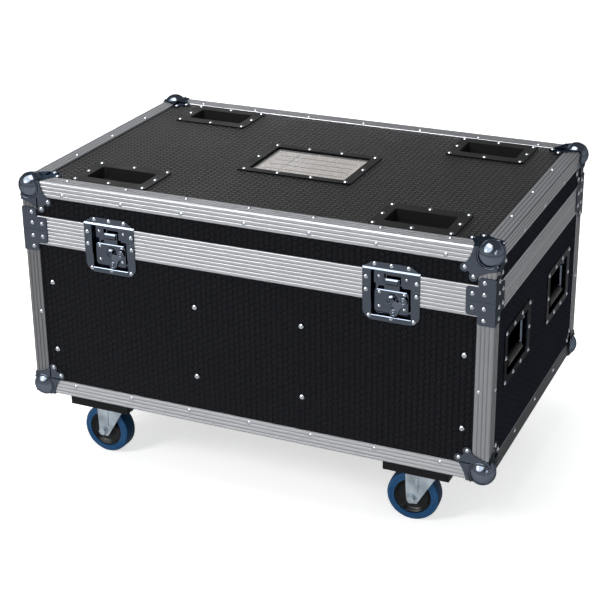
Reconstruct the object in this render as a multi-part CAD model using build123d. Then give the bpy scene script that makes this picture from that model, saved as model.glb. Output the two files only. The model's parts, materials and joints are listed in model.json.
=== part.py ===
from build123d import *
import math
import os

os.makedirs("parts", exist_ok=True)

# A flight case for stage lighting on four swivel casters. Millimetres, +Z up, front at -Y.
# The origin is on the ground under the middle of the case.

# Case, over the outer faces of its aluminium profiles
case_length = 920.0
case_depth = 588.0
base_height = 341.0
lid_height = 97.0
joint_gap = 0.3
overrun = 1.0
running_gap = 0.3
face_gap = 0.1

# Wheels, casters and the boards they are bolted to
caster_height = 130.0
wheel_diameter = 100.0
wheel_width = 34.0
hub_diameter = 71.0
hub_width = 30.0
hub_dish = 7.0
hub_rim = 7.0
axle_diameter = 10.0
axle_boss_diameter = 26.0
axle_head_diameter = 13.0
axle_head_height = 5.0
axle_washer_diameter = 18.0
axle_washer_height = 1.6
caster_inset_x = 135.0
caster_inset_y = 80.0
caster_trail = 26.0
board_thickness = 18.0
board_length = 125.0
board_front_inset = 5.0
plate_length = 102.0
plate_width = 85.0
plate_thickness = 3.0
plate_corner = 8.0
plate_bolts_x = 80.0
plate_bolts_y = 60.0
bolt_diameter = 8.0
bolt_head_height = 5.0
bolt_head_size = 13.0
race_diameter = 56.0
race_height = 9.0
kingpin_diameter = 12.0
kingpin_head_diameter = 22.0
kingpin_head_height = 5.0
crown_diameter = 76.0
crown_height = 4.0
fork_wall = 3.0
fork_side_gap = 4.0
fork_top_back = 39.0
fork_top_front = 30.0
fork_foot = 10.0
front_right_swing = 4.0
front_left_swing = -3.0
back_right_swing = 3.0
back_left_swing = -5.0
tyre_crown = 3.0
tyre_shoulder = 6.0

# Plywood
panel_thickness = 9.0
panel_fit = 0.1

# Edge profile: an angle with a channel for each of the two panels
profile_leg = 30.0
profile_wall = 2.0
profile_inner_leg = 25.0
profile_inner_wall = 1.5
profile_nose = 2.5
profile_end = 31.0
groove_width = 1.6
groove_depth = 0.5
leg_groove_count = 3

# Tongue and groove profiles on both rims
band_height = 28.4
band_web = 2.5
band_inner_leg = 20.0
band_groove_count = 3
tongue_height = 5.0
tongue_root = 3.0
tongue_tip = 2.0
tongue_inset = 5.2
tongue_side_gap = 1.3
tongue_top_gap = 1.0

# Rivets, screws and their holes
rivet_diameter = 8.0
rivet_height = 2.2
rivet_shank = 3.2
rivet_length = 8.0
rivet_hole_gap = 0.1
screw_diameter = 10.0
screw_height = 2.8
screw_length = 30.0
small_rivet_diameter = 6.0
small_rivet_height = 1.4
rivet_edge = 22.5
rivet_pitch_x = 124.0
rivet_pitch_y = 133.0
long_rivets = 7
short_rivets = 3
upright_rivet_height = 172.0

# Sheet steel fittings
sheet = 1.5

# Ball corners
ball_radius = 24.0
ball_inset = 13.5
ball_flange_near = 40.0
ball_flange_mid = 44.5
ball_flange_far = 54.0
ball_lobe_radius = 7.8
ball_rivet_far = 55.0
ball_rivet_near = 39.5

# Corner braces
brace_arm = 50.5
brace_arm_height = 26.0
brace_upright = 29.4
brace_reach = 43.0
brace_corner = 6.0
brace_rivet_near = 18.8
brace_rivet_far = 39.7
brace_rivet_low = 12.8
brace_rivet_high = 34.2

# Recessed latches
latch_inset = 184.0
latch_width = 104.5
latch_below = 66.2
latch_above = 42.8
latch_crank_below = 30.0
latch_crank_above = 31.5
latch_corner = 12.0
latch_corner_radius = 14.0
recess_width = 73.0
recess_below = 55.5
recess_above = 27.5
recess_depth = 12.5
latch_wall = 1.2
latch_rivet_side = 46.0
latch_rivet_side_above = 12.6
latch_rivet_side_below = 11.0
latch_rivet_top = 31.0
latch_rivet_top_height = 37.8
latch_rivet_bottom = 41.2
latch_rivet_bottom_depth = 59.3
wing_thickness = 1.8
wing_level = -1.2
cam_thickness = 1.6
cover_thickness = 1.3
cover_half_width = 31.0
cover_top = 8.0
cover_bottom = 50.0
cover_corner = 5.0
cover_rivet_x = 23.0
cover_rivet_top = 13.5
cover_rivet_bottom = 40.0
cover_foot_diameter = 9.0
cam_centre_depth = 24.5
cam_diameter = 21.0
cam_shaft_diameter = 13.0
cam_pin_diameter = 4.0
hook_travel = 8.0
hook_width = 28.0
hook_thickness = 2.0
hook_top = 13.0
hook_nose_width = 22.0
hook_nose_rise = 2.4
hook_bottom = 38.0
hook_slot_play = 1.1
keeper_top = 24.5
keeper_slot_width = 31.0
keeper_slot_bottom = 5.0
keeper_slot_top = 20.0
keeper_rivet_x = 25.5
keeper_rivet_height = 14.0
wing_length = 44.0
wing_near = 9.0
wing_far = 25.0
wing_waist = 7.0
wing_lobe_radius = 7.0
wing_tilt = -36.0
wing_pin_diameter = 2.4
wing_pin_length = 13.0
wing_knuckle_length = 6.0
wing_knuckle_diameter = 4.8
wing_hinge_offset = 2.5

# Recessed sprung handles
handle_inset = 155.5
handle_centre_height = 203.3
handle_flange_end = 18.5
handle_flange_side = 16.0
handle_corner = 10.0
handle_opening_length = 124.0
handle_opening_height = 78.0
handle_opening_corner = 8.0
handle_depth = 22.0
handle_rivet_end_edge = 8.0
handle_rivet_mid_y = 23.4
handle_rivet_side_edge = 7.6
bail_end_gap = 13.0
bail_rod = 7.0
bail_pivot_edge = 14.0
bail_low_edge = 14.0
bail_depth = 10.0
bail_pin = 6.0
bail_bend = 9.0
grip_end_gap = 7.0
grip_diameter = 16.0
spring_wire = 1.2
spring_pitch = 1.75
spring_turns = 3

# Stacking cups on the lid
cup_inset_x = 163.7
cup_inset_y = 89.5
cup_length = 158.0
cup_width = 112.0
cup_corner = 9.0
cup_opening_length = 116.0
cup_opening_width = 62.0
cup_opening_corner = 5.0
cup_slope = 7.0
cup_depth = 18.0
cup_rivet_x = 71.0
cup_rivet_y = 47.8

# Label holder
label_centre_y = -4.0
label_length = 232.0
label_width = 168.0
label_corner = 6.0
label_opening_length = 195.0
label_opening_width = 135.0
label_depth = 7.0
label_rivet_x = 103.5
label_rivet_mid_x = 34.2
label_rivet_end_x = 108.5
label_rivet_y = 75.8
card_length = 182.0
card_width = 124.0
card_thickness = 0.6
window_margin = 4.0
window_thickness = 2.0
window_rim = 2.6

# Inner boards and foam
divider_bay = 212.6
divider_end_gap = 51.2
divider_thickness = 9.0
divider_drop = 12.0
divider_screw_top = 235.8
divider_screw_bottom = 96.0
foam_floor = 12.0
foam_wall = 10.0
foam_lid = 20.0
foam_gap = 1.0
foam_rim_drop = 14.0

# Hinges at the back
hinge_inset = 184.0
hinge_length = 66.0
hinge_leaf_height = 25.0
hinge_leaf_thickness = 1.8
hinge_pivot_offset = 4.8
hinge_knuckle_radius = 4.2
hinge_pin_radius = 2.0
hinge_knuckles = 5
hinge_rivet_x = 22.0

# Heights and faces worked out from the sizes above
wheel_radius = wheel_diameter / 2
base_floor = caster_height + board_thickness
joint = base_floor + base_height
top = joint + lid_height
half_x = case_length / 2
half_y = case_depth / 2
latch_centre_x = half_x - latch_inset
hinge_centre_x = half_x - hinge_inset
handle_centre_y = half_y - handle_inset
handle_length = handle_opening_length + 2 * handle_flange_end
handle_height = handle_opening_height + 2 * handle_flange_side
handle_rivet_y = handle_length / 2 - handle_rivet_end_edge
handle_rivet_z = handle_height / 2 - handle_rivet_side_edge
bail_half_length = handle_opening_length / 2 - bail_end_gap
bail_pivot_height = handle_opening_height / 2 - bail_pivot_edge
bail_drop = handle_opening_height - bail_pivot_edge - bail_low_edge
grip_length = 2 * (bail_half_length - grip_end_gap)
cup_centre_x = half_x - cup_inset_x
cup_centre_y = half_y - cup_inset_y
divider_inner_x = divider_bay / 2
divider_outer_x = half_x - divider_end_gap
panel_inner = profile_wall + panel_fit + panel_thickness
channel_inner = panel_inner + panel_fit
web_inner = channel_inner + profile_inner_wall
panel_edge = web_inner + panel_fit
ridge = profile_wall - sheet


def block(x_from, x_to, y_from, y_to, z_from, z_to):
    """A box between two opposite corners."""
    centre = Pos((x_from + x_to) / 2, (y_from + y_to) / 2, (z_from + z_to) / 2)
    return centre * Box(abs(x_to - x_from), abs(y_to - y_from), abs(z_to - z_from))


def rounded_block(x_half, y_half, z_from, z_to, corner):
    """A plate about the Z axis with rounded corners."""
    return Pos(0, 0, z_from) * extrude(RectangleRounded(2 * x_half, 2 * y_half, corner), z_to - z_from)


def on_front(u_plane_y):
    """A plane on the front: local x is +X, local y is +Z, local z points out of the case."""
    return Plane(origin=(0, u_plane_y, 0), x_dir=(1, 0, 0), z_dir=(0, -1, 0))


def facing(point, normal):
    """The placement that puts a part made along +Z at a point, looking along a normal."""
    return Plane(origin=point, z_dir=normal).location


def group(solids):
    """One compound of separate solids."""
    flat = []
    for shape in solids:
        flat.extend(shape.solids())
    return Compound(children=flat)


def save(name, shape):
    """Write one node."""
    export_step(shape, "parts/" + name + ".step")


# Rivets
def domed_rivet(diameter, height, shank, length):
    """A domed head above the origin with its shank below."""
    dome_radius = (diameter * diameter / 4 + height * height) / (2 * height)
    head = Pos(0, 0, height - dome_radius) * Sphere(dome_radius)
    head = head & rounded_disc(diameter, height)
    return head + Pos(0, 0, -length / 2) * Cylinder(shank / 2, length)


def rounded_disc(diameter, height):
    """A short cylinder standing on the origin."""
    return Pos(0, 0, height / 2) * Cylinder(diameter / 2, height)


plain_rivet = domed_rivet(rivet_diameter, rivet_height, rivet_shank, rivet_length)
wide_screw = domed_rivet(screw_diameter, screw_height, rivet_shank, screw_length)
small_rivet = domed_rivet(small_rivet_diameter, small_rivet_height, rivet_shank, rivet_length / 2)


def place(fastener, spots):
    """Copies of a fastener at spots of (point, outward normal)."""
    return [facing(point, normal) * fastener for point, normal in spots]


def drilled(shape, spots, length=rivet_length):
    """Cut the shank holes of the spots that lie in or on the shape."""
    box = shape.bounding_box()
    reach = Vector(overrun, overrun, overrun)
    low = box.min - reach
    high = box.max + reach
    hole = Cylinder(rivet_shank / 2 + rivet_hole_gap, length + 2 * rivet_hole_gap + overrun)
    hole = Pos(0, 0, (overrun - length) / 2 - rivet_hole_gap) * hole
    cutters = []
    for point, normal in spots:
        start = Vector(*point)
        end = start - Vector(*normal) * length
        inside = True
        for axis in ("X", "Y", "Z"):
            least = min(getattr(start, axis), getattr(end, axis))
            most = max(getattr(start, axis), getattr(end, axis))
            if most < getattr(low, axis) or least > getattr(high, axis):
                inside = False
        if inside:
            cutters.append(facing(point, normal) * hole)
    if cutters:
        return shape - cutters
    return shape


def spread(count, pitch):
    """Evenly spaced places about zero."""
    return [(index - (count - 1) / 2) * pitch for index in range(count)]


def edge_spots_along_x(level, inward, with_middle=True):
    """Rivets of the front and back edge profiles at one level, on both faces of each."""
    spots = []
    for side in (-1, 1):
        for x in spread(long_rivets, rivet_pitch_x):
            spots.append(((x, side * half_y, level + inward * rivet_edge), (0, side, 0)))
            spots.append(((x, side * (half_y - rivet_edge), level), (0, 0, -inward)))
    return spots


def edge_spots_along_y(level, inward):
    """Rivets of the end edge profiles at one level, on both faces of each."""
    spots = []
    for side in (-1, 1):
        for y in spread(short_rivets, rivet_pitch_y):
            spots.append(((side * half_x, y, level + inward * rivet_edge), (side, 0, 0)))
            spots.append(((side * (half_x - rivet_edge), y, level), (0, 0, -inward)))
    return spots


def bottom_face_clear(spot):
    """True for a rivet that no caster board covers."""
    (x, y, z), normal = spot
    board_near = half_x - caster_inset_x - board_length / 2 - rivet_diameter
    board_far = half_x - caster_inset_x + board_length / 2 + rivet_diameter
    under = normal[2] < 0
    covered = board_near < abs(x) < board_far and abs(y) > half_y - 2 * caster_inset_y
    return not (under and covered)


def upright_spots():
    """One rivet on each face of each upright profile of the base."""
    spots = []
    level = base_floor + upright_rivet_height
    for side in (-1, 1):
        for end in (-1, 1):
            spots.append(((side * (half_x - rivet_edge), end * half_y, level), (0, end, 0)))
            spots.append(((side * half_x, end * (half_y - rivet_edge), level), (side, 0, 0)))
    return spots


def corner_spots(offsets, depth, level, inward, with_flat=True):
    """Rivets in the three faces about each corner, at (along, up) offsets from it."""
    spots = []
    for side in (-1, 1):
        for end in (-1, 1):
            for along, up in offsets:
                z = level + inward * up
                spots.append(((side * (half_x - along), end * (half_y - depth), z), (0, end, 0)))
                spots.append(((side * (half_x - depth), end * (half_y - along), z), (side, 0, 0)))
                if with_flat:
                    x = side * (half_x - along)
                    y = end * (half_y - up)
                    spots.append(((x, y, level + inward * depth), (0, 0, -inward)))
    return spots


ball_offsets = [(ball_rivet_far, ball_rivet_near), (ball_rivet_near, ball_rivet_far)]
brace_offsets = [
    (brace_rivet_near, brace_rivet_low),
    (brace_rivet_far, brace_rivet_low),
    (brace_rivet_near, brace_rivet_high),
]


def latch_spots(lid):
    """Flange rivets of both latches, on the lid or on the base."""
    spots = []
    band_face = -half_y - sheet
    panel_face = -half_y + ridge
    for side in (-1, 1):
        centre = side * latch_centre_x
        if lid:
            high = joint + latch_rivet_top_height
            for x in (-latch_rivet_top, 0, latch_rivet_top):
                spots.append(((centre + x, panel_face, high), (0, -1, 0)))
            for x in (-latch_rivet_side, latch_rivet_side):
                spots.append(((centre + x, band_face, joint + latch_rivet_side_above), (0, -1, 0)))
        else:
            low = joint - latch_rivet_bottom_depth
            for x in (-latch_rivet_bottom, 0, latch_rivet_bottom):
                spots.append(((centre + x, panel_face, low), (0, -1, 0)))
            for x in (-latch_rivet_side, latch_rivet_side):
                spots.append(((centre + x, band_face, joint - latch_rivet_side_below), (0, -1, 0)))
    return spots


def handle_spots():
    """Ten flange rivets for each of the four handles."""
    spots = []
    level = base_floor + handle_centre_height
    face = half_x - ridge
    for side in (-1, 1):
        for end in (-1, 1):
            centre = end * handle_centre_y
            for along in (-handle_rivet_y, -handle_rivet_mid_y, handle_rivet_mid_y, handle_rivet_y):
                for up in (-handle_rivet_z, handle_rivet_z):
                    spots.append(((side * face, centre + along, level + up), (side, 0, 0)))
            for along in (-handle_rivet_y, handle_rivet_y):
                spots.append(((side * face, centre + along, level), (side, 0, 0)))
    return spots


def cup_spots():
    """Eight flange rivets for each stacking cup."""
    spots = []
    face = top - ridge
    for side in (-1, 1):
        for end in (-1, 1):
            x_centre = side * cup_centre_x
            y_centre = end * cup_centre_y
            for x in (-cup_rivet_x, 0, cup_rivet_x):
                for y in (-cup_rivet_y, cup_rivet_y):
                    spots.append(((x_centre + x, y_centre + y, face), (0, 0, 1)))
            for x in (-cup_rivet_x, cup_rivet_x):
                spots.append(((x_centre + x, y_centre, face), (0, 0, 1)))
    return spots


def label_spots():
    """Ten rivets of the label holder."""
    spots = []
    face = top - ridge
    for x in (-label_rivet_x, -label_rivet_mid_x, label_rivet_mid_x, label_rivet_x):
        for y in (-label_rivet_y, label_rivet_y):
            spots.append(((x, label_centre_y + y, face), (0, 0, 1)))
    for x in (-label_rivet_end_x, label_rivet_end_x):
        spots.append(((x, label_centre_y, face), (0, 0, 1)))
    return spots


def hinge_spots(lid):
    """Two rivets in each leaf of each hinge."""
    spots = []
    reach = (hinge_leaf_height + hinge_pivot_offset) / 2
    level = joint + reach if lid else joint - reach
    for side in (-1, 1):
        for x in (-hinge_rivet_x, hinge_rivet_x):
            face = half_y + hinge_leaf_thickness
            spots.append(((side * hinge_centre_x + x, face, level), (0, 1, 0)))
    return spots


def divider_spots():
    """Wide screws through the front and back panels into the ends of the four inner boards."""
    spots = []
    face = half_y - profile_wall
    for end in (-1, 1):
        for side in (-1, 1):
            for x in (divider_inner_x, divider_outer_x):
                for height in (divider_screw_bottom, divider_screw_top):
                    spots.append(((side * x, end * face, base_floor + height), (0, end, 0)))
    return spots


base_spots = [spot for spot in edge_spots_along_x(base_floor, 1) if bottom_face_clear(spot)]
base_spots += edge_spots_along_y(base_floor, 1)
base_spots += upright_spots()
base_spots += corner_spots(ball_offsets, ridge, base_floor, 1)
base_spots += corner_spots(brace_offsets, -sheet, joint, -1, with_flat=False)
base_spots += latch_spots(lid=False)
base_spots += handle_spots()
base_spots += hinge_spots(lid=False)
lid_spots = edge_spots_along_x(top, -1) + edge_spots_along_y(top, -1)
lid_spots += corner_spots(ball_offsets, ridge, top, -1)
lid_spots += corner_spots(brace_offsets, -sheet, joint, 1, with_flat=False)
lid_spots += latch_spots(lid=True)
lid_spots += cup_spots() + label_spots() + hinge_spots(lid=True)
screw_spots = divider_spots()


# Profiles
def grooves(length, count):
    """Places of the grooves between the ribs of a face."""
    pitch = length / (count + 1)
    return [pitch * (index + 1) for index in range(count)]


def corner_section():
    """Section of the edge profile: both legs run inwards from the outer corner."""
    low = (Align.MIN, Align.MIN)
    shape = Rectangle(profile_leg, profile_wall, align=low)
    shape += Rectangle(profile_wall, profile_leg, align=low)
    strip = profile_inner_leg - profile_wall
    shape += Pos(channel_inner, profile_wall) * Rectangle(profile_inner_wall, strip, align=low)
    shape += Pos(profile_wall, channel_inner) * Rectangle(strip, profile_inner_wall, align=low)
    for place_along in grooves(profile_leg, leg_groove_count):
        start = place_along - groove_width / 2
        shape -= Pos(start, 0) * Rectangle(groove_width, groove_depth, align=low)
        shape -= Pos(0, start) * Rectangle(groove_depth, groove_width, align=low)
    outer = shape.vertices().sort_by_distance((0, 0, 0))[0]
    return fillet(outer, profile_nose)


def band_section(lid):
    """Section of a rim profile: x inwards from the outer face, y away from the joint."""
    low = (Align.MIN, Align.MIN)
    gap = joint_gap if lid else 0
    web = gap + band_web
    if lid:
        web += tongue_height + tongue_top_gap
    shape = Pos(0, gap) * Rectangle(profile_wall, band_height - gap, align=low)
    shape += Pos(0, gap) * Rectangle(web_inner, web - gap, align=low)
    shape += Pos(channel_inner, gap) * Rectangle(profile_inner_wall, band_inner_leg - gap, align=low)
    for place_along in grooves(band_height, band_groove_count):
        start = place_along - groove_width / 2
        shape -= Pos(0, start) * Rectangle(groove_depth, groove_width, align=low)
    if lid:
        slot = tongue_root + 2 * tongue_side_gap
        slot_start = tongue_inset - tongue_side_gap
        shape -= Pos(slot_start, 0) * Rectangle(slot, web - band_web, align=low)
    else:
        shift = (tongue_root - tongue_tip) / 2
        outline = Polyline(
            (tongue_inset, 0),
            (tongue_inset + shift, -tongue_height),
            (tongue_inset + shift + tongue_tip, -tongue_height),
            (tongue_inset + tongue_root, 0),
            close=True,
        )
        shape += make_face(outline)
    return shape


def bar(section, corner, first, second, length):
    """A length of section centred on a corner, its x along first and its y along second."""
    first = Vector(*first)
    second = Vector(*second)
    along = first.cross(second)
    start = Vector(*corner) - along * (length / 2)
    return extrude(Plane(origin=start, x_dir=first, z_dir=along) * section, length)


def edge_bars(level, up):
    """Four edge profiles round the bottom or the top."""
    section = corner_section()
    bars = []
    for side in (-1, 1):
        length = case_length - 2 * profile_end
        corner = (0, side * half_y, level)
        bars.append(bar(section, corner, (0, -side, 0), (0, 0, up), length))
        length = case_depth - 2 * profile_end
        corner = (side * half_x, 0, level)
        bars.append(bar(section, corner, (-side, 0, 0), (0, 0, up), length))
    return bars


def upright_bars(z_from, z_to):
    """Four upright corner profiles."""
    section = corner_section()
    bars = []
    for side in (-1, 1):
        for end in (-1, 1):
            corner = (side * half_x, end * half_y, (z_from + z_to) / 2)
            bars.append(bar(section, corner, (-side, 0, 0), (0, -end, 0), z_to - z_from))
    return bars


def mitre(end):
    """The sector of the plan that one rim profile fills; end is its outward direction."""
    depth = web_inner + overrun
    z_low = joint - band_height - overrun
    height = 2 * (band_height + overrun)
    if end[0] == 0:
        far, near = half_x, half_y
    else:
        far, near = half_y, half_x
    outline = Polyline(
        (-far - overrun, near + overrun),
        (far + overrun, near + overrun),
        (far - depth, near - depth),
        (-far + depth, near - depth),
        close=True,
    )
    prism = extrude(make_face(outline), height)
    angle = math.degrees(math.atan2(end[1], end[0])) - math.degrees(math.pi / 2)
    return Pos(0, 0, z_low) * Rot(0, 0, angle) * prism


def rim_bars(lid):
    """Four mitred rim profiles with the latch openings cut out."""
    section = band_section(lid)
    up = 1 if lid else -1
    bars = []
    for end in ((0, -1), (0, 1), (-1, 0), (1, 0)):
        corner = (end[0] * half_x, end[1] * half_y, joint)
        length = case_length if end[0] == 0 else case_depth
        piece = bar(section, corner, (-end[0], -end[1], 0), (0, 0, up), length)
        piece = piece & mitre(end)
        if end == (0, -1):
            piece = piece - latch_openings()
        bars.append(piece)
    return bars


def latch_openings(grow=face_gap):
    """What the latch recesses take out of the front."""
    half = recess_width / 2 + latch_wall + grow
    cutters = []
    for side in (-1, 1):
        centre = side * latch_centre_x
        cutters.append(block(
            centre - half, centre + half,
            -half_y - overrun, -half_y + recess_depth + grow,
            joint - recess_below - latch_wall - grow,
            joint + recess_above + latch_wall + grow,
        ))
    return cutters


# Panels
def base_panel_span():
    """Bottom and top edges of the base's standing panels."""
    return base_floor + panel_edge, joint - band_web - panel_fit


def lid_panel_span():
    """Bottom and top edges of the lid's standing panels."""
    web = joint_gap + band_web + tongue_height + tongue_top_gap
    return joint + web + panel_fit, top - panel_edge


def long_panel(end, z_from, z_to):
    """A front or back panel."""
    outer = half_y - profile_wall - panel_fit
    inner = outer - panel_thickness
    y_low = min(end * outer, end * inner)
    y_high = max(end * outer, end * inner)
    reach = half_x - panel_edge
    return block(-reach, reach, y_low, y_high, z_from, z_to)


def end_panel(side, z_from, z_to):
    """A left or right panel."""
    outer = half_x - profile_wall - panel_fit
    inner = outer - panel_thickness
    x_low = min(side * outer, side * inner)
    x_high = max(side * outer, side * inner)
    reach = half_y - panel_edge
    return block(x_low, x_high, -reach, reach, z_from, z_to)


def flat_panel(outer, inward):
    """The floor panel or the lid's top panel."""
    near = outer + inward * (profile_wall + panel_fit)
    far = near + inward * panel_thickness
    x_reach = half_x - panel_edge
    y_reach = half_y - panel_edge
    return block(-x_reach, x_reach, -y_reach, y_reach, min(near, far), max(near, far))


def handle_openings(grow):
    """What the handle dishes take out of the end panels."""
    cutters = []
    level = base_floor + handle_centre_height
    for side in (-1, 1):
        for end in (-1, 1):
            x_low = half_x - handle_depth - overrun
            x_high = half_x + overrun
            y_half = handle_opening_length / 2 + grow
            z_half = handle_opening_height / 2 + grow
            cutters.append(block(
                min(side * x_low, side * x_high), max(side * x_low, side * x_high),
                end * handle_centre_y - y_half, end * handle_centre_y + y_half,
                level - z_half, level + z_half,
            ))
    return cutters


def cup_openings(grow, depth):
    """What the cups take out of the lid's top panel and foam."""
    cutters = []
    for side in (-1, 1):
        for end in (-1, 1):
            pocket = rounded_block(
                cup_opening_length / 2 + grow, cup_opening_width / 2 + grow,
                top - depth, top + overrun, cup_opening_corner,
            )
            cutters.append(Pos(side * cup_centre_x, end * cup_centre_y, 0) * pocket)
    return cutters


def label_opening(grow, depth):
    """What the label tray takes out of the lid's top panel."""
    x_half = label_opening_length / 2 + grow
    y_half = label_opening_width / 2 + grow
    low = label_centre_y - y_half
    high = label_centre_y + y_half
    return block(-x_half, x_half, low, high, top - depth, top + overrun)


def build_base_panels():
    """Front, back, end and floor panels of the base."""
    z_low, z_high = base_panel_span()
    handle_grow = latch_wall + face_gap
    front = long_panel(-1, z_low, z_high) - latch_openings()
    back = long_panel(1, z_low, z_high)
    ends = [end_panel(side, z_low, z_high) - handle_openings(handle_grow) for side in (-1, 1)]
    floor = flat_panel(base_floor, 1)
    front = drilled(drilled(front, base_spots), screw_spots, screw_length)
    back = drilled(drilled(back, base_spots), screw_spots, screw_length)
    save("base_front_panel", front)
    save("base_back_panel", back)
    save("base_end_panels", group([drilled(piece, base_spots) for piece in ends]))
    save("base_floor_panel", drilled(floor, base_spots))


def build_lid_panels():
    """Top, front, back and end panels of the lid."""
    z_low, z_high = lid_panel_span()
    cup_grow = latch_wall + sheet
    below = profile_wall + panel_thickness + overrun
    flat = flat_panel(top, -1) - cup_openings(cup_grow, below)
    flat = flat - label_opening(latch_wall + face_gap, below)
    front = long_panel(-1, z_low, z_high) - latch_openings()
    back = long_panel(1, z_low, z_high)
    ends = [end_panel(side, z_low, z_high) for side in (-1, 1)]
    save("lid_top_panel", drilled(flat, lid_spots))
    save("lid_long_panels", group([drilled(front, lid_spots), drilled(back, lid_spots)]))
    save("lid_end_panels", group([drilled(piece, lid_spots) for piece in ends]))


def build_profiles():
    """All aluminium profiles of the base and the lid."""
    bars = edge_bars(base_floor, 1)
    bars += upright_bars(base_floor + profile_end, joint - band_height)
    save("base_edge_profiles", group([drilled(piece, base_spots) for piece in bars]))
    save("base_tongue_profiles", group([drilled(piece, base_spots) for piece in rim_bars(False)]))
    bars = edge_bars(top, -1)
    bars += upright_bars(joint + band_height, top - profile_end)
    save("lid_edge_profiles", group([drilled(piece, lid_spots) for piece in bars]))
    save("lid_groove_profiles", group([drilled(piece, lid_spots) for piece in rim_bars(True)]))


# Ball corners and braces, made in one octant: the case lies on the positive side of each axis
def flange_plate():
    """The part of a ball corner's flange that lies on the profiles of one face."""
    with BuildSketch() as sketch:
        with BuildLine():
            start = (-sheet, -sheet)
            Polyline((ball_flange_near, -sheet), start, (-sheet, ball_flange_near))
            ThreePointArc(
                (-sheet, ball_flange_near),
                (profile_leg / 2, ball_flange_mid),
                (profile_leg + sheet, ball_flange_far),
            )
            Polyline(
                (profile_leg + sheet, ball_flange_far),
                (profile_leg + sheet, profile_leg + sheet),
                (ball_flange_far, profile_leg + sheet),
            )
            ThreePointArc(
                (ball_flange_far, profile_leg + sheet),
                (ball_flange_mid, profile_leg / 2),
                (ball_flange_near, -sheet),
            )
        make_face()
    return extrude(sketch.sketch, -sheet)


def flange_lobes():
    """The sunk part of the flange with its two riveted lobes, and the step that joins it."""
    root = profile_leg + face_gap
    low = ball_rivet_near - ball_lobe_radius
    outline = Polyline(
        (root, root),
        (ball_rivet_far, low),
        (ball_rivet_far, ball_rivet_near),
        (ball_rivet_near, ball_rivet_far),
        (low, ball_rivet_far),
        close=True,
    )
    shape = make_face(outline)
    shape += Pos(ball_rivet_far, ball_rivet_near) * Circle(ball_lobe_radius)
    shape += Pos(ball_rivet_near, ball_rivet_far) * Circle(ball_lobe_radius)
    plate = Pos(0, 0, ridge) * extrude(shape, sheet)
    step = block(root, ball_flange_far, root, root + sheet, -sheet, profile_wall)
    turned = block(root, root + sheet, root, ball_flange_far, -sheet, profile_wall)
    return plate + step + turned


def ball_corner():
    """A pressed corner: part of a hollow ball with a flange on each of three faces."""
    centre = Pos(ball_inset, ball_inset, ball_inset)
    hollow = centre * Sphere(ball_radius - sheet)
    far = 2 * ball_radius
    shell = centre * Sphere(ball_radius) - block(0, far, 0, far, 0, far)
    one = flange_plate() + flange_lobes()
    second = Plane(origin=(0, 0, 0), x_dir=(0, 1, 0), z_dir=(1, 0, 0)).location * one
    third = Plane(origin=(0, 0, 0), x_dir=(0, 0, 1), z_dir=(0, 1, 0)).location * one
    return (shell + one + second + third) - hollow


def brace():
    """A corner brace folded round the upright edge, its arms just above the joint."""
    reach = Polyline(
        (-sheet, joint_gap / 2),
        (brace_arm, joint_gap / 2),
        (brace_arm, brace_arm_height),
        (brace_upright, brace_arm_height),
        (brace_upright, brace_reach),
        (-sheet, brace_reach),
        close=True,
    )
    face = make_face(reach)
    outer = face.vertices().sort_by(Axis.X)[-2:]
    high = outer.sort_by(Axis.Y)[-1]
    crest = face.vertices().sort_by(Axis.Y)[-2:].sort_by(Axis.X)[-1]
    face = fillet([high, crest], brace_corner)
    plate = Plane.XZ * face
    front = extrude(plate, sheet)
    side = front.mirror(Plane(origin=(0, 0, 0), z_dir=(1, -1, 0)))
    return front + side


def at_corner(shape, side, end, level, inward):
    """Bring a part made in the positive octant to one corner of the case."""
    if side > 0:
        shape = shape.mirror(Plane.YZ)
    if end > 0:
        shape = shape.mirror(Plane.XZ)
    if inward < 0:
        shape = shape.mirror(Plane.XY)
    return Pos(side * half_x, end * half_y, level) * shape


def build_corners():
    """Ball corners and braces of the base and the lid."""
    ball = ball_corner()
    fold = brace()
    sets = {"base_ball_corners": [], "lid_ball_corners": []}
    sets["base_corner_braces"] = []
    sets["lid_corner_braces"] = []
    for side in (-1, 1):
        for end in (-1, 1):
            piece = at_corner(ball, side, end, base_floor, 1)
            sets["base_ball_corners"].append(drilled(piece, base_spots))
            piece = at_corner(ball, side, end, top, -1)
            sets["lid_ball_corners"].append(drilled(piece, lid_spots))
            piece = at_corner(fold, side, end, joint, -1)
            sets["base_corner_braces"].append(drilled(piece, base_spots))
            piece = at_corner(fold, side, end, joint, 1)
            sets["lid_corner_braces"].append(drilled(piece, lid_spots))
    for name, pieces in sets.items():
        save(name, group(pieces))


# Latches, made about their own centre: x across, y out of the front as minus, z up from the joint
wing_back = wing_level + wing_thickness
cam_front = wing_back + face_gap
cam_back = cam_front + cam_thickness
cover_front = cam_back + running_gap
cover_back = cover_front + cover_thickness
hook_front = cover_back + running_gap
hook_back = hook_front + hook_thickness
keeper_front = hook_back + running_gap
keeper_back = keeper_front + latch_wall
floor_front = recess_depth - latch_wall


def front_plate(face, y_from, y_to):
    """A flat part from a sketch drawn in X and Z, between two depths behind the front plane."""
    plane = Plane(origin=(0, y_to, 0), x_dir=(1, 0, 0), z_dir=(0, -1, 0))
    return extrude(plane * face, y_to - y_from)


def disc(diameter, y_from, y_to, x=0, z=0):
    """A cylinder along Y."""
    return front_plate(Pos(x, z) * Circle(diameter / 2), y_from, y_to)


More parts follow.
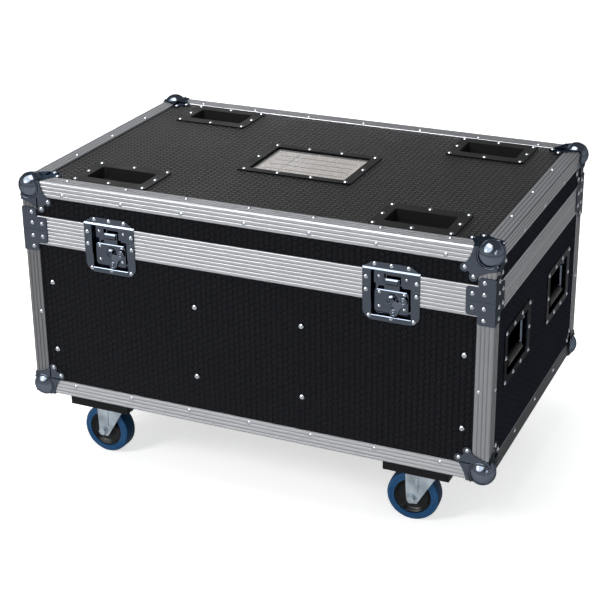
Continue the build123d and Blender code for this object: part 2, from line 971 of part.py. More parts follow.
def dish_shell(reach, flange_edge, lid):
    """Walls and floor of one half of the latch recess."""
    half = recess_width / 2
    gap = joint_gap / 2
    start, stop = (gap, reach) if lid else (-reach, -gap)
    wall_stop = reach + latch_wall if lid else -reach - latch_wall
    outer = block(-half - latch_wall, half + latch_wall, -sheet, recess_depth,
                  min(start, wall_stop) if lid else wall_stop, max(start, wall_stop) if lid else -gap)
    inner_low = start - overrun if lid else start
    inner_high = stop if lid else stop + overrun
    inner = block(-half, half, -sheet - overrun, floor_front, inner_low, inner_high)
    raised = block(-half_x, half_x, -sheet - overrun, ridge, -half_x, -latch_crank_below)
    return outer - inner - raised


def latch_flange(reach, crank, corner_width, lid):
    """Flange of one half: on the rim profile near the joint, cranked down to the panel beyond."""
    sign = 1 if lid else -1
    half = latch_width / 2
    gap = joint_gap / 2
    near = Pos(0, sign * (gap + crank) / 2) * Rectangle(latch_width, crank - gap)
    outline = Polyline(
        (-half, sign * (crank - sheet)),
        (half, sign * (crank - sheet)),
        (half, sign * (reach - latch_corner)),
        (half - corner_width, sign * reach),
        (corner_width - half, sign * reach),
        (-half, sign * (reach - latch_corner)),
        close=True,
    )
    face = make_face(outline)
    far = fillet([corner for corner in face.vertices() if abs(corner.Y) > crank], latch_corner_radius)
    bend = Pos(0, sign * (crank - sheet / 2)) * Rectangle(latch_width, sheet)
    flange = front_plate(near, -sheet, 0)
    flange += front_plate(bend, -sheet, profile_wall)
    flange += front_plate(far, ridge, profile_wall)
    return flange


def latch_base_dish():
    """Lower half of the latch recess."""
    dish = latch_flange(latch_below, latch_crank_below, latch_corner, lid=False)
    dish -= block(-recess_width / 2, recess_width / 2, -sheet - overrun, floor_front,
                  -recess_below, overrun)
    return dish + dish_shell(recess_below, latch_below, lid=False)


def latch_lid_dish():
    """Upper half of the latch recess."""
    corner_width = latch_width / 2 - latch_rivet_top - rivet_diameter / 2
    dish = latch_flange(latch_above, latch_crank_above, corner_width, lid=True)
    dish -= block(-recess_width / 2, recess_width / 2, -sheet - overrun, floor_front,
                  -overrun, recess_above)
    return dish + dish_shell(recess_above, latch_above, lid=True)


def latch_keeper():
    """Slotted keeper plate in the lid half, on two feet that reach the dish floor."""
    half = recess_width / 2
    low = joint_gap / 2 + overrun
    plate = Pos(0, (low + keeper_top) / 2) * Rectangle(2 * half, keeper_top - low)
    slot = Pos(0, (keeper_slot_bottom + keeper_slot_top) / 2)
    plate -= slot * Rectangle(keeper_slot_width, keeper_slot_top - keeper_slot_bottom)
    keeper = front_plate(plate, keeper_front, keeper_back)
    for x in (-keeper_rivet_x, keeper_rivet_x):
        keeper += disc(cover_foot_diameter, keeper_back, floor_front, x, keeper_rivet_height)
    return keeper


def latch_cover():
    """Cover plate over the hook, on four feet, with the bearing hole of the cam."""
    height = cover_bottom - cover_top
    plate = Pos(0, -(cover_top + cover_bottom) / 2) * RectangleRounded(
        2 * cover_half_width, height, cover_corner)
    plate -= Pos(0, -cam_centre_depth) * Circle(cam_shaft_diameter / 2 + face_gap)
    cover = front_plate(plate, cover_front, cover_back)
    for x in (-cover_rivet_x, cover_rivet_x):
        for z in (-cover_rivet_top, -cover_rivet_bottom):
            cover += disc(cover_foot_diameter, cover_back, floor_front, x, z)
    return cover


def latch_hook():
    """Sliding hook: a plate with a cross slot for the cam's pin and a turned nose."""
    crank = hook_travel / 2
    body = Pos(0, (hook_top - hook_bottom) / 2) * Rectangle(hook_width, hook_top + hook_bottom)
    slot_half = crank + cam_pin_diameter / 2 + running_gap
    slot_height = cam_pin_diameter + 2 * hook_slot_play
    slot = Pos(0, -cam_centre_depth - crank)
    body -= slot * RectangleRounded(2 * slot_half, slot_height, slot_height / 2 - face_gap)
    hook = front_plate(body, hook_front, hook_back)
    nose_low = joint_gap + overrun
    side = Polyline(
        (hook_front, nose_low),
        (hook_front - hook_nose_rise, nose_low + hook_nose_rise),
        (hook_front - hook_nose_rise, hook_top - hook_nose_rise),
        (hook_front, hook_top),
        close=True,
    )
    plane = Plane(origin=(-hook_nose_width / 2, 0, 0), x_dir=(0, 1, 0), z_dir=(1, 0, 0))
    return hook + extrude(plane * make_face(side), hook_nose_width)


def latch_cam():
    """Cam disc, its shaft through the cover and the eccentric pin in the hook's slot."""
    z = -cam_centre_depth
    cam = disc(cam_diameter, cam_front, cam_back, 0, z)
    cam += disc(cam_shaft_diameter, cam_back, cover_back + running_gap / 2, 0, z)
    cam += disc(cam_pin_diameter, cover_back, hook_back - face_gap, 0, z - hook_travel / 2)
    hinge = wing_hinge_place()
    pin_x, pin_z, dir_x, dir_z = hinge
    for along in (-1, 1):
        offset = along * (wing_knuckle_length + wing_pin_length) / 4
        cam += ear(pin_x + dir_x * offset, pin_z + dir_z * offset)
    cut = knuckle_cylinder(wing_pin_diameter / 2, wing_pin_length + overrun)
    return cam - cut + knuckle_cylinder(wing_pin_diameter / 2, wing_pin_length)


def wing_hinge_place():
    """Centre and direction of the wing's hinge pin, in X and Z."""
    tilt = math.radians(wing_tilt)
    dir_x = math.sin(tilt)
    dir_z = -math.cos(tilt)
    centre_x = wing_hinge_offset * math.cos(tilt)
    centre_z = -cam_centre_depth + wing_hinge_offset * math.sin(tilt)
    return centre_x, centre_z, dir_x, dir_z


def wing_axis_depth():
    """Depth of the wing's hinge pin behind the front plane."""
    return cam_front - wing_knuckle_diameter / 2 + face_gap


def knuckle_cylinder(radius, length):
    """A cylinder along the wing's hinge pin."""
    pin_x, pin_z, dir_x, dir_z = wing_hinge_place()
    place_at = Plane(origin=(pin_x, wing_axis_depth(), pin_z), z_dir=(dir_x, 0, dir_z)).location
    return place_at * Cylinder(radius, length)


def ear(x, z):
    """One ear of the cam that holds the wing's pin."""
    thickness = (wing_pin_length - wing_knuckle_length) / 2 - running_gap
    pin_x, pin_z, dir_x, dir_z = wing_hinge_place()
    place_at = Plane(origin=(x, wing_axis_depth(), z), z_dir=(dir_x, 0, dir_z)).location
    return place_at * Cylinder(wing_knuckle_diameter / 2, thickness)


def latch_wing():
    """Bow-tie wing folded flat, with a knuckle on the cam's pin."""
    tilt = math.radians(wing_tilt)
    half = wing_length / 2 - wing_lobe_radius
    near_x = wing_near + wing_lobe_radius / 2
    outline = Polyline(
        (wing_hinge_offset, -wing_knuckle_length / 2),
        (near_x, -wing_waist),
        (wing_near, -half),
        (wing_far - wing_lobe_radius, -half - wing_lobe_radius / 2),
        (wing_far, -half),
        (wing_far - wing_lobe_radius / 2, 0),
        (wing_far, half),
        (wing_far - wing_lobe_radius, half + wing_lobe_radius / 2),
        (wing_near, half),
        (near_x, wing_waist),
        (wing_hinge_offset, wing_knuckle_length / 2),
        close=True,
    )
    face = make_face(outline)
    for end in (-1, 1):
        face += Pos((wing_near + wing_far) / 2, end * half) * Circle(wing_lobe_radius)
    plate = front_plate(face, wing_level, wing_back)
    turned = Rot(0, -math.degrees(tilt), 0) * plate
    plate = Pos(0, 0, -cam_centre_depth) * turned
    ends = knuckle_cylinder(wing_knuckle_diameter / 2 + face_gap, wing_pin_length + running_gap)
    plate -= ends - knuckle_cylinder(wing_knuckle_diameter, wing_knuckle_length)
    knuckle = knuckle_cylinder(wing_knuckle_diameter / 2 - face_gap - running_gap, wing_knuckle_length)
    wing = plate + knuckle
    return wing - knuckle_cylinder(wing_pin_diameter / 2 + face_gap, wing_pin_length + overrun)


def build_latches():
    """Both latches and what is riveted inside them."""
    dishes = {"latch_base_dishes": [], "latch_lid_dishes": [], "latch_cover_plates": []}
    cover_spots = []
    for side, name in ((-1, "left"), (1, "right")):
        place_at = Pos(side * latch_centre_x, -half_y, joint)
        low = drilled(place_at * latch_base_dish(), base_spots)
        high = drilled(place_at * latch_lid_dish(), lid_spots)
        dishes["latch_base_dishes"].append(low)
        dishes["latch_lid_dishes"].append(high)
        dishes["latch_lid_dishes"].append(place_at * latch_keeper())
        dishes["latch_cover_plates"].append(place_at * latch_cover())
        save("latch_hook_" + name, place_at * latch_hook())
        save("latch_cam_" + name, place_at * latch_cam())
        save("latch_wing_" + name, place_at * latch_wing())
    for name, pieces in dishes.items():
        save(name, group(pieces))


def latch_inner_rivets(lid):
    """Small rivet heads on the cover plates or on the keeper plates."""
    rivets = []
    head = small_head()
    for side in (-1, 1):
        centre = side * latch_centre_x
        if lid:
            spots = [((centre + x, -half_y + keeper_front, joint + keeper_rivet_height), (0, -1, 0))
                     for x in (-keeper_rivet_x, keeper_rivet_x)]
        else:
            spots = [((centre + x, -half_y + cover_front, joint - z), (0, -1, 0))
                     for x in (-cover_rivet_x, cover_rivet_x)
                     for z in (cover_rivet_top, cover_rivet_bottom)]
        rivets += place(head, spots)
    return rivets


def small_head():
    """The head of a small rivet, set on the plate it holds."""
    height = small_rivet_height
    dome_radius = (small_rivet_diameter * small_rivet_diameter / 4 + height * height) / (2 * height)
    head = Pos(0, 0, height - dome_radius) * Sphere(dome_radius)
    return head & rounded_disc(small_rivet_diameter, height)


# Handles, made in one place: x out of the end as plus, y along, z up from the dish centre
def handle_dish():
    """Flange and dish, with the pivot holes in its end walls."""
    plane = Plane(origin=(-profile_wall, 0, 0), x_dir=(0, 1, 0), z_dir=(1, 0, 0))
    flange = extrude(plane * RectangleRounded(handle_length, handle_height, handle_corner), sheet)
    deep = Plane(origin=(-handle_depth, 0, 0), x_dir=(0, 1, 0), z_dir=(1, 0, 0))
    opening = RectangleRounded(handle_opening_length, handle_opening_height, handle_opening_corner)
    outside = RectangleRounded(
        handle_opening_length + 2 * latch_wall, handle_opening_height + 2 * latch_wall,
        handle_opening_corner + latch_wall)
    dish = flange + extrude(deep * outside, handle_depth - profile_wall)
    inner = Plane(origin=(latch_wall - handle_depth, 0, 0), x_dir=(0, 1, 0), z_dir=(1, 0, 0))
    dish -= extrude(inner * opening, handle_depth)
    return dish + handle_lugs()


def handle_lugs():
    """Blocks at both ends that carry the bail's pivot ends."""
    lugs = []
    lug_out = handle_opening_length / 2
    lug_in = lug_out - (lug_out - bail_half_length - bail_rod / 2) / 4
    size = bail_pin + 2 * latch_wall
    for end in (-1, 1):
        centre_y = end * (lug_out + lug_in) / 2
        lug = Pos(-bail_depth, centre_y, bail_pivot_height) * Rot(math.degrees(math.pi / 2), 0, 0)
        ring = lug * Cylinder(size / 2, lug_out - lug_in)
        bore = lug * Cylinder(bail_pin / 2 + face_gap, lug_out)
        lugs.append(ring - bore)
    return lugs[0] + lugs[1]


def bail_path():
    """Centre line of the bail: down one arm, across the grip and up the other."""
    low = bail_pivot_height - bail_drop
    x = -bail_depth
    first = (x, -bail_half_length, bail_pivot_height)
    left_bend = (x, -bail_half_length, low + bail_bend)
    left_low = (x, -bail_half_length + bail_bend, low)
    right_low = (x, bail_half_length - bail_bend, low)
    right_bend = (x, bail_half_length, low + bail_bend)
    last = (x, bail_half_length, bail_pivot_height)
    lines = [
        Line(first, left_bend),
        TangentArc(left_bend, left_low, tangent=(0, 0, -1)),
        Line(left_low, right_low),
        TangentArc(right_low, right_bend, tangent=(0, 1, 0)),
        Line(right_bend, last),
    ]
    return Wire(lines)


def handle_bail():
    """Bent steel rod with a flattened eye and a pivot stub at each end."""
    path = bail_path()
    start = (-bail_depth, -bail_half_length, bail_pivot_height)
    section = Plane(origin=start, z_dir=(0, 0, -1)) * Circle(bail_rod / 2)
    rod = sweep(section, path=path)
    stub_end = handle_opening_length / 2 - running_gap
    for end in (-1, 1):
        eye = Pos(-bail_depth, end * bail_half_length, bail_pivot_height)
        quarter = Rot(math.degrees(math.pi / 2), 0, 0)
        rod += eye * quarter * Cylinder(bail_rod / 2 + face_gap, bail_rod)
        stub_length = stub_end - bail_half_length
        middle = end * (stub_end + bail_half_length) / 2
        stub = Pos(-bail_depth, middle, bail_pivot_height) * quarter
        rod += stub * Cylinder(bail_pin / 2, stub_length)
    return rod


def handle_grip():
    """Sleeve round the middle of the bail."""
    low = bail_pivot_height - bail_drop
    place_at = Pos(-bail_depth, 0, low) * Rot(math.degrees(math.pi / 2), 0, 0)
    grip = place_at * Cylinder(grip_diameter / 2, grip_length)
    grip = fillet(grip.edges().filter_by(GeomType.CIRCLE), sheet)
    return grip - place_at * Cylinder(bail_rod / 2, grip_length + overrun)


def spring_points(end):
    """Points and tangents each quarter turn of a torsion spring round a pivot stub."""
    radius = bail_pin / 2 + running_gap + spring_wire / 2
    start_y = bail_half_length + bail_rod / 2 + spring_wire / 2 + running_gap
    steps = 4 * spring_turns
    points = []
    for step in range(steps + 1):
        turn = step / 4
        angle = 2 * math.pi * turn
        y = end * (start_y + spring_pitch * turn)
        point = Vector(
            -bail_depth + radius * math.cos(angle), y, bail_pivot_height + radius * math.sin(angle))
        tangent = Vector(
            -radius * math.sin(angle), end * spring_pitch / (2 * math.pi), radius * math.cos(angle))
        points.append((point, tangent.normalized()))
    return points


def handle_spring(end):
    """One torsion spring, swept along pairs of tangent arcs."""
    points = spring_points(end)
    arcs = []
    for (start, start_way), (stop, stop_way) in zip(points, points[1:]):
        chord = stop - start
        way = start_way + stop_way
        across = chord.dot(way)
        slack = 2 * (1 - start_way.dot(stop_way))
        reach = (math.sqrt(across * across + slack * chord.dot(chord)) - across) / slack
        knee = (start + start_way * reach + stop - stop_way * reach) * (1 / 2)
        middle_way = (stop - stop_way * reach) - (start + start_way * reach)
        arcs.append(TangentArc(start, knee, tangent=start_way))
        arcs.append(TangentArc(knee, stop, tangent=middle_way.normalized()))
    first, first_way = points[0]
    section = Plane(origin=first, z_dir=first_way) * Circle(spring_wire / 2)
    return sweep(section, path=Wire(arcs))


def spring_gap():
    """Least distance between neighbouring turns of a spring."""
    points = spring_points(1)
    least = None
    for index in range(len(points) - 4):
        apart = (points[index + 4][0] - points[index][0]).length - spring_wire
        least = apart if least is None else min(least, apart)
    return least


def build_handles():
    """Four recessed handles with their bails, grips and springs."""
    dish = handle_dish()
    bail = handle_bail()
    grip = handle_grip()
    springs = [handle_spring(end) for end in (-1, 1)]
    dishes = []
    coils = []
    for side, side_name in ((-1, "left"), (1, "right")):
        for end, end_name in ((-1, "front"), (1, "back")):
            name = end_name + "_" + side_name
            level = base_floor + handle_centre_height

            def put(shape):
                turned = shape.mirror(Plane.YZ) if side < 0 else shape
                return Pos(side * half_x, end * handle_centre_y, level) * turned

            dishes.append(drilled(put(dish), base_spots))
            coils += [put(spring) for spring in springs]
            save("handle_bail_" + name, put(bail))
            save("handle_grip_" + name, put(grip))
    save("handle_dishes", group(dishes))
    save("handle_springs", group(coils))
    print("least gap between spring turns", round(spring_gap(), 2))


# Stacking cups and label holder
def wheel_cup():
    """Flange with a sunk tray whose walls slope inwards."""
    face = top - ridge
    flange = rounded_block(cup_length / 2, cup_width / 2, face - sheet, face, cup_corner)
    deep = face - cup_depth

    def tray(grow, z_low, z_high):
        upper = Plane(origin=(0, 0, z_high)) * RectangleRounded(
            cup_opening_length + 2 * grow, cup_opening_width + 2 * grow, cup_opening_corner)
        lower = Plane(origin=(0, 0, z_low)) * RectangleRounded(
            cup_opening_length - 2 * cup_slope + 2 * grow,
            cup_opening_width - 2 * cup_slope + 2 * grow, cup_opening_corner)
        return loft([lower, upper])

    outside = tray(sheet, deep - sheet, face)
    inside = tray(0, deep, face)
    lip = rounded_block(
        cup_opening_length / 2, cup_opening_width / 2, face, face + overrun, cup_opening_corner)
    return (flange + outside) - inside - lip


def label_frame():
    """Flange with a shallow tray for the card."""
    face = top - ridge
    x_half = label_opening_length / 2
    y_half = label_opening_width / 2
    frame = rounded_block(label_length / 2, label_width / 2, face - sheet, face, label_corner)
    low = face - label_depth
    frame += block(-x_half - latch_wall, x_half + latch_wall, -y_half - latch_wall,
                   y_half + latch_wall, low - latch_wall, face - sheet)
    frame -= block(-x_half, x_half, -y_half, y_half, low, face + overrun)
    return Pos(0, label_centre_y, 0) * frame


def build_lid_fittings():
    """Cups, label frame, card and window."""
    cup = wheel_cup()
    cups = []
    for side in (-1, 1):
        for end in (-1, 1):
            piece = Pos(side * cup_centre_x, end * cup_centre_y, 0) * cup
            cups.append(drilled(piece, lid_spots))
    save("wheel_cups", group(cups))
    save("label_frame", drilled(label_frame(), lid_spots))
    floor = top - ridge - label_depth
    card = rounded_block(card_length / 2, card_width / 2, floor, floor + card_thickness, overrun)
    save("label_card", Pos(0, label_centre_y, 0) * card)
    above = floor + card_thickness
    x_half = card_length / 2 + window_margin
    y_half = card_width / 2 + window_margin
    pane = rounded_block(x_half, y_half, above, above + window_thickness, window_rim)
    rim = rounded_block(x_half, y_half, floor, above, window_rim)
    rim -= rounded_block(card_length / 2 + face_gap, card_width / 2 + face_gap,
                         floor, above, overrun)
    save("label_window", Pos(0, label_centre_y, 0) * (pane + rim))


# Hinges
def hinge_axis_place(x):
    """Placement of a cylinder on the hinge line."""
    return Pos(x, half_y + hinge_pivot_offset, joint) * Rot(0, math.degrees(math.pi / 2), 0)


def hinge_leaf(centre, lid):
    """A leaf on the rim profile with its share of the knuckles."""
    sign = 1 if lid else -1
    clear = hinge_knuckle_radius + running_gap
    plate_low = joint + sign * clear
    plate_high = joint + sign * hinge_leaf_height
    half = hinge_length / 2
    leaf = block(centre - half, centre + half, half_y, half_y + hinge_leaf_thickness,
                 min(plate_low, plate_high), max(plate_low, plate_high))
    width = hinge_length / hinge_knuckles
    first = 1 if lid else 0
    for index in range(first, hinge_knuckles, 2):
        middle = centre - half + (index + 1 / 2) * width
        length = width - running_gap
        ring = hinge_axis_place(middle) * Cylinder(hinge_knuckle_radius, length)
        web = block(middle - length / 2, middle + length / 2,
                    half_y + running_gap, half_y + hinge_leaf_thickness,
                    min(joint, plate_low + sign * overrun), max(joint, plate_low + sign * overrun))
        leaf += ring
        leaf += web
    bore = hinge_pin_radius + face_gap if lid else hinge_pin_radius
    return leaf - hinge_axis_place(centre) * Cylinder(bore, hinge_length + overrun)


def build_hinges():
    """Two hinges with their pins."""
    low, high, pins = [], [], []
    for side in (-1, 1):
        centre = side * hinge_centre_x
        low.append(drilled(hinge_leaf(centre, lid=False), base_spots))
        high.append(drilled(hinge_leaf(centre, lid=True), lid_spots))
        pins.append(hinge_axis_place(centre) * Cylinder(hinge_pin_radius, hinge_length))
    save("hinge_base_leaves", group(low))
    save("hinge_lid_leaves", group(high))
    save("hinge_pins", group(pins))


# Casters
def caster_place(side, end):
    """Where a caster's swivel line meets the ground."""
    x = side * (half_x - caster_inset_x)
    y = end * (half_y - caster_inset_y)
    return x, y


def caster_board():
    """Board under the case, centred on the swivel."""
    half = board_length / 2
    reach = caster_inset_y - board_front_inset
    board = block(-half, half, -reach, reach, caster_height, base_floor)
    return board - bolt_cylinders(bolt_diameter / 2 + face_gap, caster_height - overrun,
                                  caster_height + board_thickness - sheet)


def bolt_cylinders(radius, z_from, z_to):
    """One cylinder at each bolt of the plate."""
    bolts = []
    for x in (-plate_bolts_x / 2, plate_bolts_x / 2):
        for y in (-plate_bolts_y / 2, plate_bolts_y / 2):
            bolts.append(Pos(x, y, (z_from + z_to) / 2) * Cylinder(radius, z_to - z_from))
    return bolts


def caster_plate():
    """Top plate with the fixed race below it and the kingpin through it, without its bolts."""
    low = caster_height - plate_thickness
    plate = rounded_block(plate_length / 2, plate_width / 2, low, caster_height, plate_corner)
    plate -= bolt_cylinders(bolt_diameter / 2 + face_gap, low - overrun, caster_height + overrun)
    race_low = low - race_height
    plate += Pos(0, 0, (low + race_low) / 2) * Cylinder(race_diameter / 2, race_height)
    pin_low = race_low - running_gap - crown_height - running_gap
    plate += Pos(0, 0, (pin_low + low) / 2) * Cylinder(kingpin_diameter / 2, low - pin_low)
    head = pin_low - kingpin_head_height
    plate += Pos(0, 0, (pin_low + head) / 2) * Cylinder(kingpin_head_diameter / 2, pin_low - head)
    return plate


def caster_bolts():
    """Hexagon bolts from below, through the plate into the board."""
    low = caster_height - plate_thickness
    shank_top = base_floor - sheet - face_gap
    bolts = []
    head_face = RegularPolygon(bolt_head_size / 2, 6, major_radius=False)
    for x in (-plate_bolts_x / 2, plate_bolts_x / 2):
        for y in (-plate_bolts_y / 2, plate_bolts_y / 2):
            head = Pos(x, y, low - bolt_head_height) * extrude(head_face, bolt_head_height)
            shank = Pos(x, y, (low + shank_top) / 2) * Cylinder(bolt_diameter / 2, shank_top - low)
            bolts.append(head + shank)
    return bolts


def crown_top():
    """Height of the fork's crown, just under the race."""
    return caster_height - plate_thickness - race_height - running_gap


def fork_side(y_from, y_to):
    """One leg of the fork, swept back to the axle."""
    high = crown_top()
    axle_low = wheel_radius - fork_foot
    outline = Polyline(
        (-fork_top_back, high),
        (fork_top_front, high),
        (-caster_trail + fork_foot, axle_low),
        (-caster_trail - fork_foot / 2, axle_low),
        (-caster_trail - fork_foot, wheel_radius),
        close=True,
    )
    face = make_face(outline)
    low_corners = face.vertices().sort_by(Axis.Y)[:2]
    face = fillet(low_corners, fork_foot / 4)
    return front_plate(face, y_from, y_to)


def caster_fork():
    """Crown and two legs of the fork, and the axle bolt between them."""
    high = crown_top()
    inner = wheel_width / 2 + fork_side_gap
    outer = inner + fork_wall
    middle = high - crown_height / 2
    crown = Pos(0, 0, middle) * Cylinder(crown_diameter / 2, crown_height)
    crown += block(-fork_top_back, fork_top_front, -outer, outer, high - crown_height, high)
    fork = crown + fork_side(-outer, -inner) + fork_side(inner, outer)
    bore = Pos(0, 0, middle) * Cylinder(kingpin_diameter / 2 + face_gap, crown_height + overrun)
    fork -= bore
    axle = axle_cylinder(axle_diameter / 2, -outer - axle_head_height, outer + axle_head_height)
    for end in (-1, 1):
        near = end * outer
        washer = near + end * axle_washer_height
        far = near + end * (axle_washer_height + axle_head_height)
        axle += axle_cylinder(axle_washer_diameter / 2, min(near, washer), max(near, washer))
        axle += hexagon(min(washer, far), max(washer, far))
        spacer = end * (hub_width / 2 + running_gap)
        axle += axle_cylinder(axle_head_diameter / 2, min(spacer, end * inner), max(spacer, end * inner))
    return fork + axle


def axle_cylinder(radius, y_from, y_to):
    """A cylinder on the wheel's axle line."""
    face = Pos(-caster_trail, wheel_radius) * Circle(radius)
    return front_plate(face, y_from, y_to)


def hexagon(y_from, y_to):
    """A hexagon head on the axle line."""
    face = RegularPolygon(axle_head_diameter / 2, 6, major_radius=False)
    return front_plate(Pos(-caster_trail, wheel_radius) * face, y_from, y_to)


def wheel_hub():
    """Dished hub with a boss on the axle."""
    half = hub_width / 2
    hub = axle_cylinder(hub_diameter / 2, -half, half)
    ring = axle_cylinder(hub_diameter / 2 - hub_rim, half - hub_dish, half + overrun)
    ring -= axle_cylinder(axle_boss_diameter / 2, half - hub_dish - overrun, half + 2 * overrun)
    hub -= ring
    hub -= ring.mirror(Plane.XZ)
    return hub - axle_cylinder(axle_diameter / 2 + face_gap, -half - overrun, half + overrun)


def wheel_tyre():
    """Solid tyre with rounded shoulders and a slightly crowned tread."""
    half = wheel_width / 2
    inner = hub_diameter / 2
    side = wheel_radius - tyre_shoulder
    crown = wheel_radius - tyre_crown
    with BuildSketch(Plane.YZ) as sketch:
        with BuildLine():
            Polyline((-half, side), (-half, inner), (half, inner), (half, side))
            ThreePointArc(
                (half, side),
                (half - tyre_shoulder / 4, crown + tyre_shoulder / 4 - tyre_crown / 2),
                (half - tyre_shoulder, crown + tyre_crown / 2),
            )
            ThreePointArc(
                (half - tyre_shoulder, crown + tyre_crown / 2),
                (0, wheel_radius),
                (tyre_shoulder - half, crown + tyre_crown / 2),
            )
            ThreePointArc(
                (tyre_shoulder - half, crown + tyre_crown / 2),
                (tyre_shoulder / 4 - half, crown + tyre_shoulder / 4 - tyre_crown / 2),
                (-half, side),
            )
        make_face()
    tyre = revolve(sketch.sketch, Axis.Y)
    return Pos(-caster_trail, 0, wheel_radius) * tyre


def build_casters():
    """Four casters with their boards."""
    boards = []
    plates = []
    swings = {
        (1, -1): front_right_swing,
        (-1, -1): front_left_swing,
        (1, 1): back_right_swing,
        (-1, 1): back_left_swing,
    }
    for side, side_name in ((-1, "left"), (1, "right")):
        for end, end_name in ((-1, "front"), (1, "back")):
            name = end_name + "_" + side_name
            x, y = caster_place(side, end)
            fixed = Pos(x, y, 0)
            swung = fixed * Rot(0, 0, swings[(side, end)])
            boards.append(fixed * caster_board())
            plates.append(fixed * caster_plate())
            plates += [fixed * bolt for bolt in caster_bolts()]
            save("caster_fork_" + name, swung * caster_fork())
            save("wheel_hub_" + name, swung * wheel_hub())
            save("wheel_tyre_" + name, swung * wheel_tyre())
    save("caster_boards", group(boards))
    save("caster_plates", group(plates))


# Inner boards and foam
def divider_boards():
    """Four boards across the base, screwed through the front and back panels."""
    low = base_floor + profile_wall + panel_fit + panel_thickness
    high = joint - divider_drop
    reach = half_y - panel_inner
    notch_depth = web_inner + face_gap - panel_inner
    boards = []
    for side in (-1, 1):
        for x in (divider_inner_x, divider_outer_x):
            middle = side * x
            near = middle - divider_thickness / 2
            far = middle + divider_thickness / 2
            board = block(near, far, -reach, reach, low, high)
            for end in (-1, 1):
                rim = (end * (reach - notch_depth), end * (reach + overrun))
                board -= block(near - overrun, far + overrun, min(rim), max(rim),
                               joint - band_inner_leg - face_gap, high + overrun)
                board -= block(near - overrun, far + overrun, min(rim), max(rim), low - overrun,
                               base_floor + profile_inner_leg + face_gap)
            step_out = half_y - profile_inner_leg - face_gap
            step_up = base_floor + web_inner + face_gap
            for end in (-1, 1):
                foot = (end * step_out, end * (reach + overrun))
                board -= block(near - overrun, far + overrun, min(foot), max(foot),
                               low - overrun, step_up)
            boards.append(drilled(board, screw_spots, screw_length))
    return boards


def bays():
    """X ranges of the three wide bays between the inner boards."""
    half = divider_thickness / 2
    inner = divider_inner_x
    outer = divider_outer_x
    return [(-outer + half, -inner - half), (-inner + half, inner - half), (inner + half, outer - half)]


def base_foam():
    """Floor and wall pads in each wide bay."""
    seat = base_floor + panel_inner
    high = joint - foam_rim_drop - band_inner_leg
    pads = []
    for x_from, x_to in bays():
        x_from = x_from + face_gap
        x_to = x_to - face_gap
        floor_reach = half_y - profile_inner_leg - foam_gap
        pads.append(block(x_from, x_to, -floor_reach, floor_reach, seat, seat + foam_floor))
        for end in (-1, 1):
            outer = end * (half_y - panel_inner)
            inner = end * (half_y - panel_inner - foam_wall)
            pad = block(x_from, x_to, min(outer, inner), max(outer, inner),
                        base_floor + profile_inner_leg + foam_gap, high)
            pads.append(pad - latch_openings(foam_gap))
    return pads


def lid_foam():
    """One pad under the lid's top, open round the cups and the label tray."""
    high = top - panel_inner
    x_reach = half_x - profile_inner_leg - foam_gap
    y_reach = half_y - profile_inner_leg - foam_gap
    pad = block(-x_reach, x_reach, -y_reach, y_reach, high - foam_lid, high)
    return pad - cup_openings(sheet + foam_gap, panel_inner + foam_lid + overrun)


def build_lining():
    """Inner boards and both foam linings."""
    save("dividers", group(divider_boards()))
    save("base_foam", group(base_foam()))
    save("lid_foam", lid_foam())


def build_fasteners():
    """All rivets and screws that show."""
    base = place(plain_rivet, base_spots) + place(wide_screw, screw_spots)
    base += latch_inner_rivets(lid=False)
    lid = place(plain_rivet, lid_spots) + latch_inner_rivets(lid=True)
    save("base_rivets", group(base))
    save("lid_rivets", group(lid))


build_base_panels()
build_lid_panels()
build_profiles()
build_corners()
build_latches()
build_handles()
build_lid_fittings()
build_hinges()
build_casters()
build_lining()
build_fasteners()
print("nodes", len(os.listdir("parts")))
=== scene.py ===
import functools
import json
import math

import bmesh
import bpy
from bpy.props import FloatProperty, FloatVectorProperty, IntProperty, PointerProperty
from mathutils import Matrix, Vector

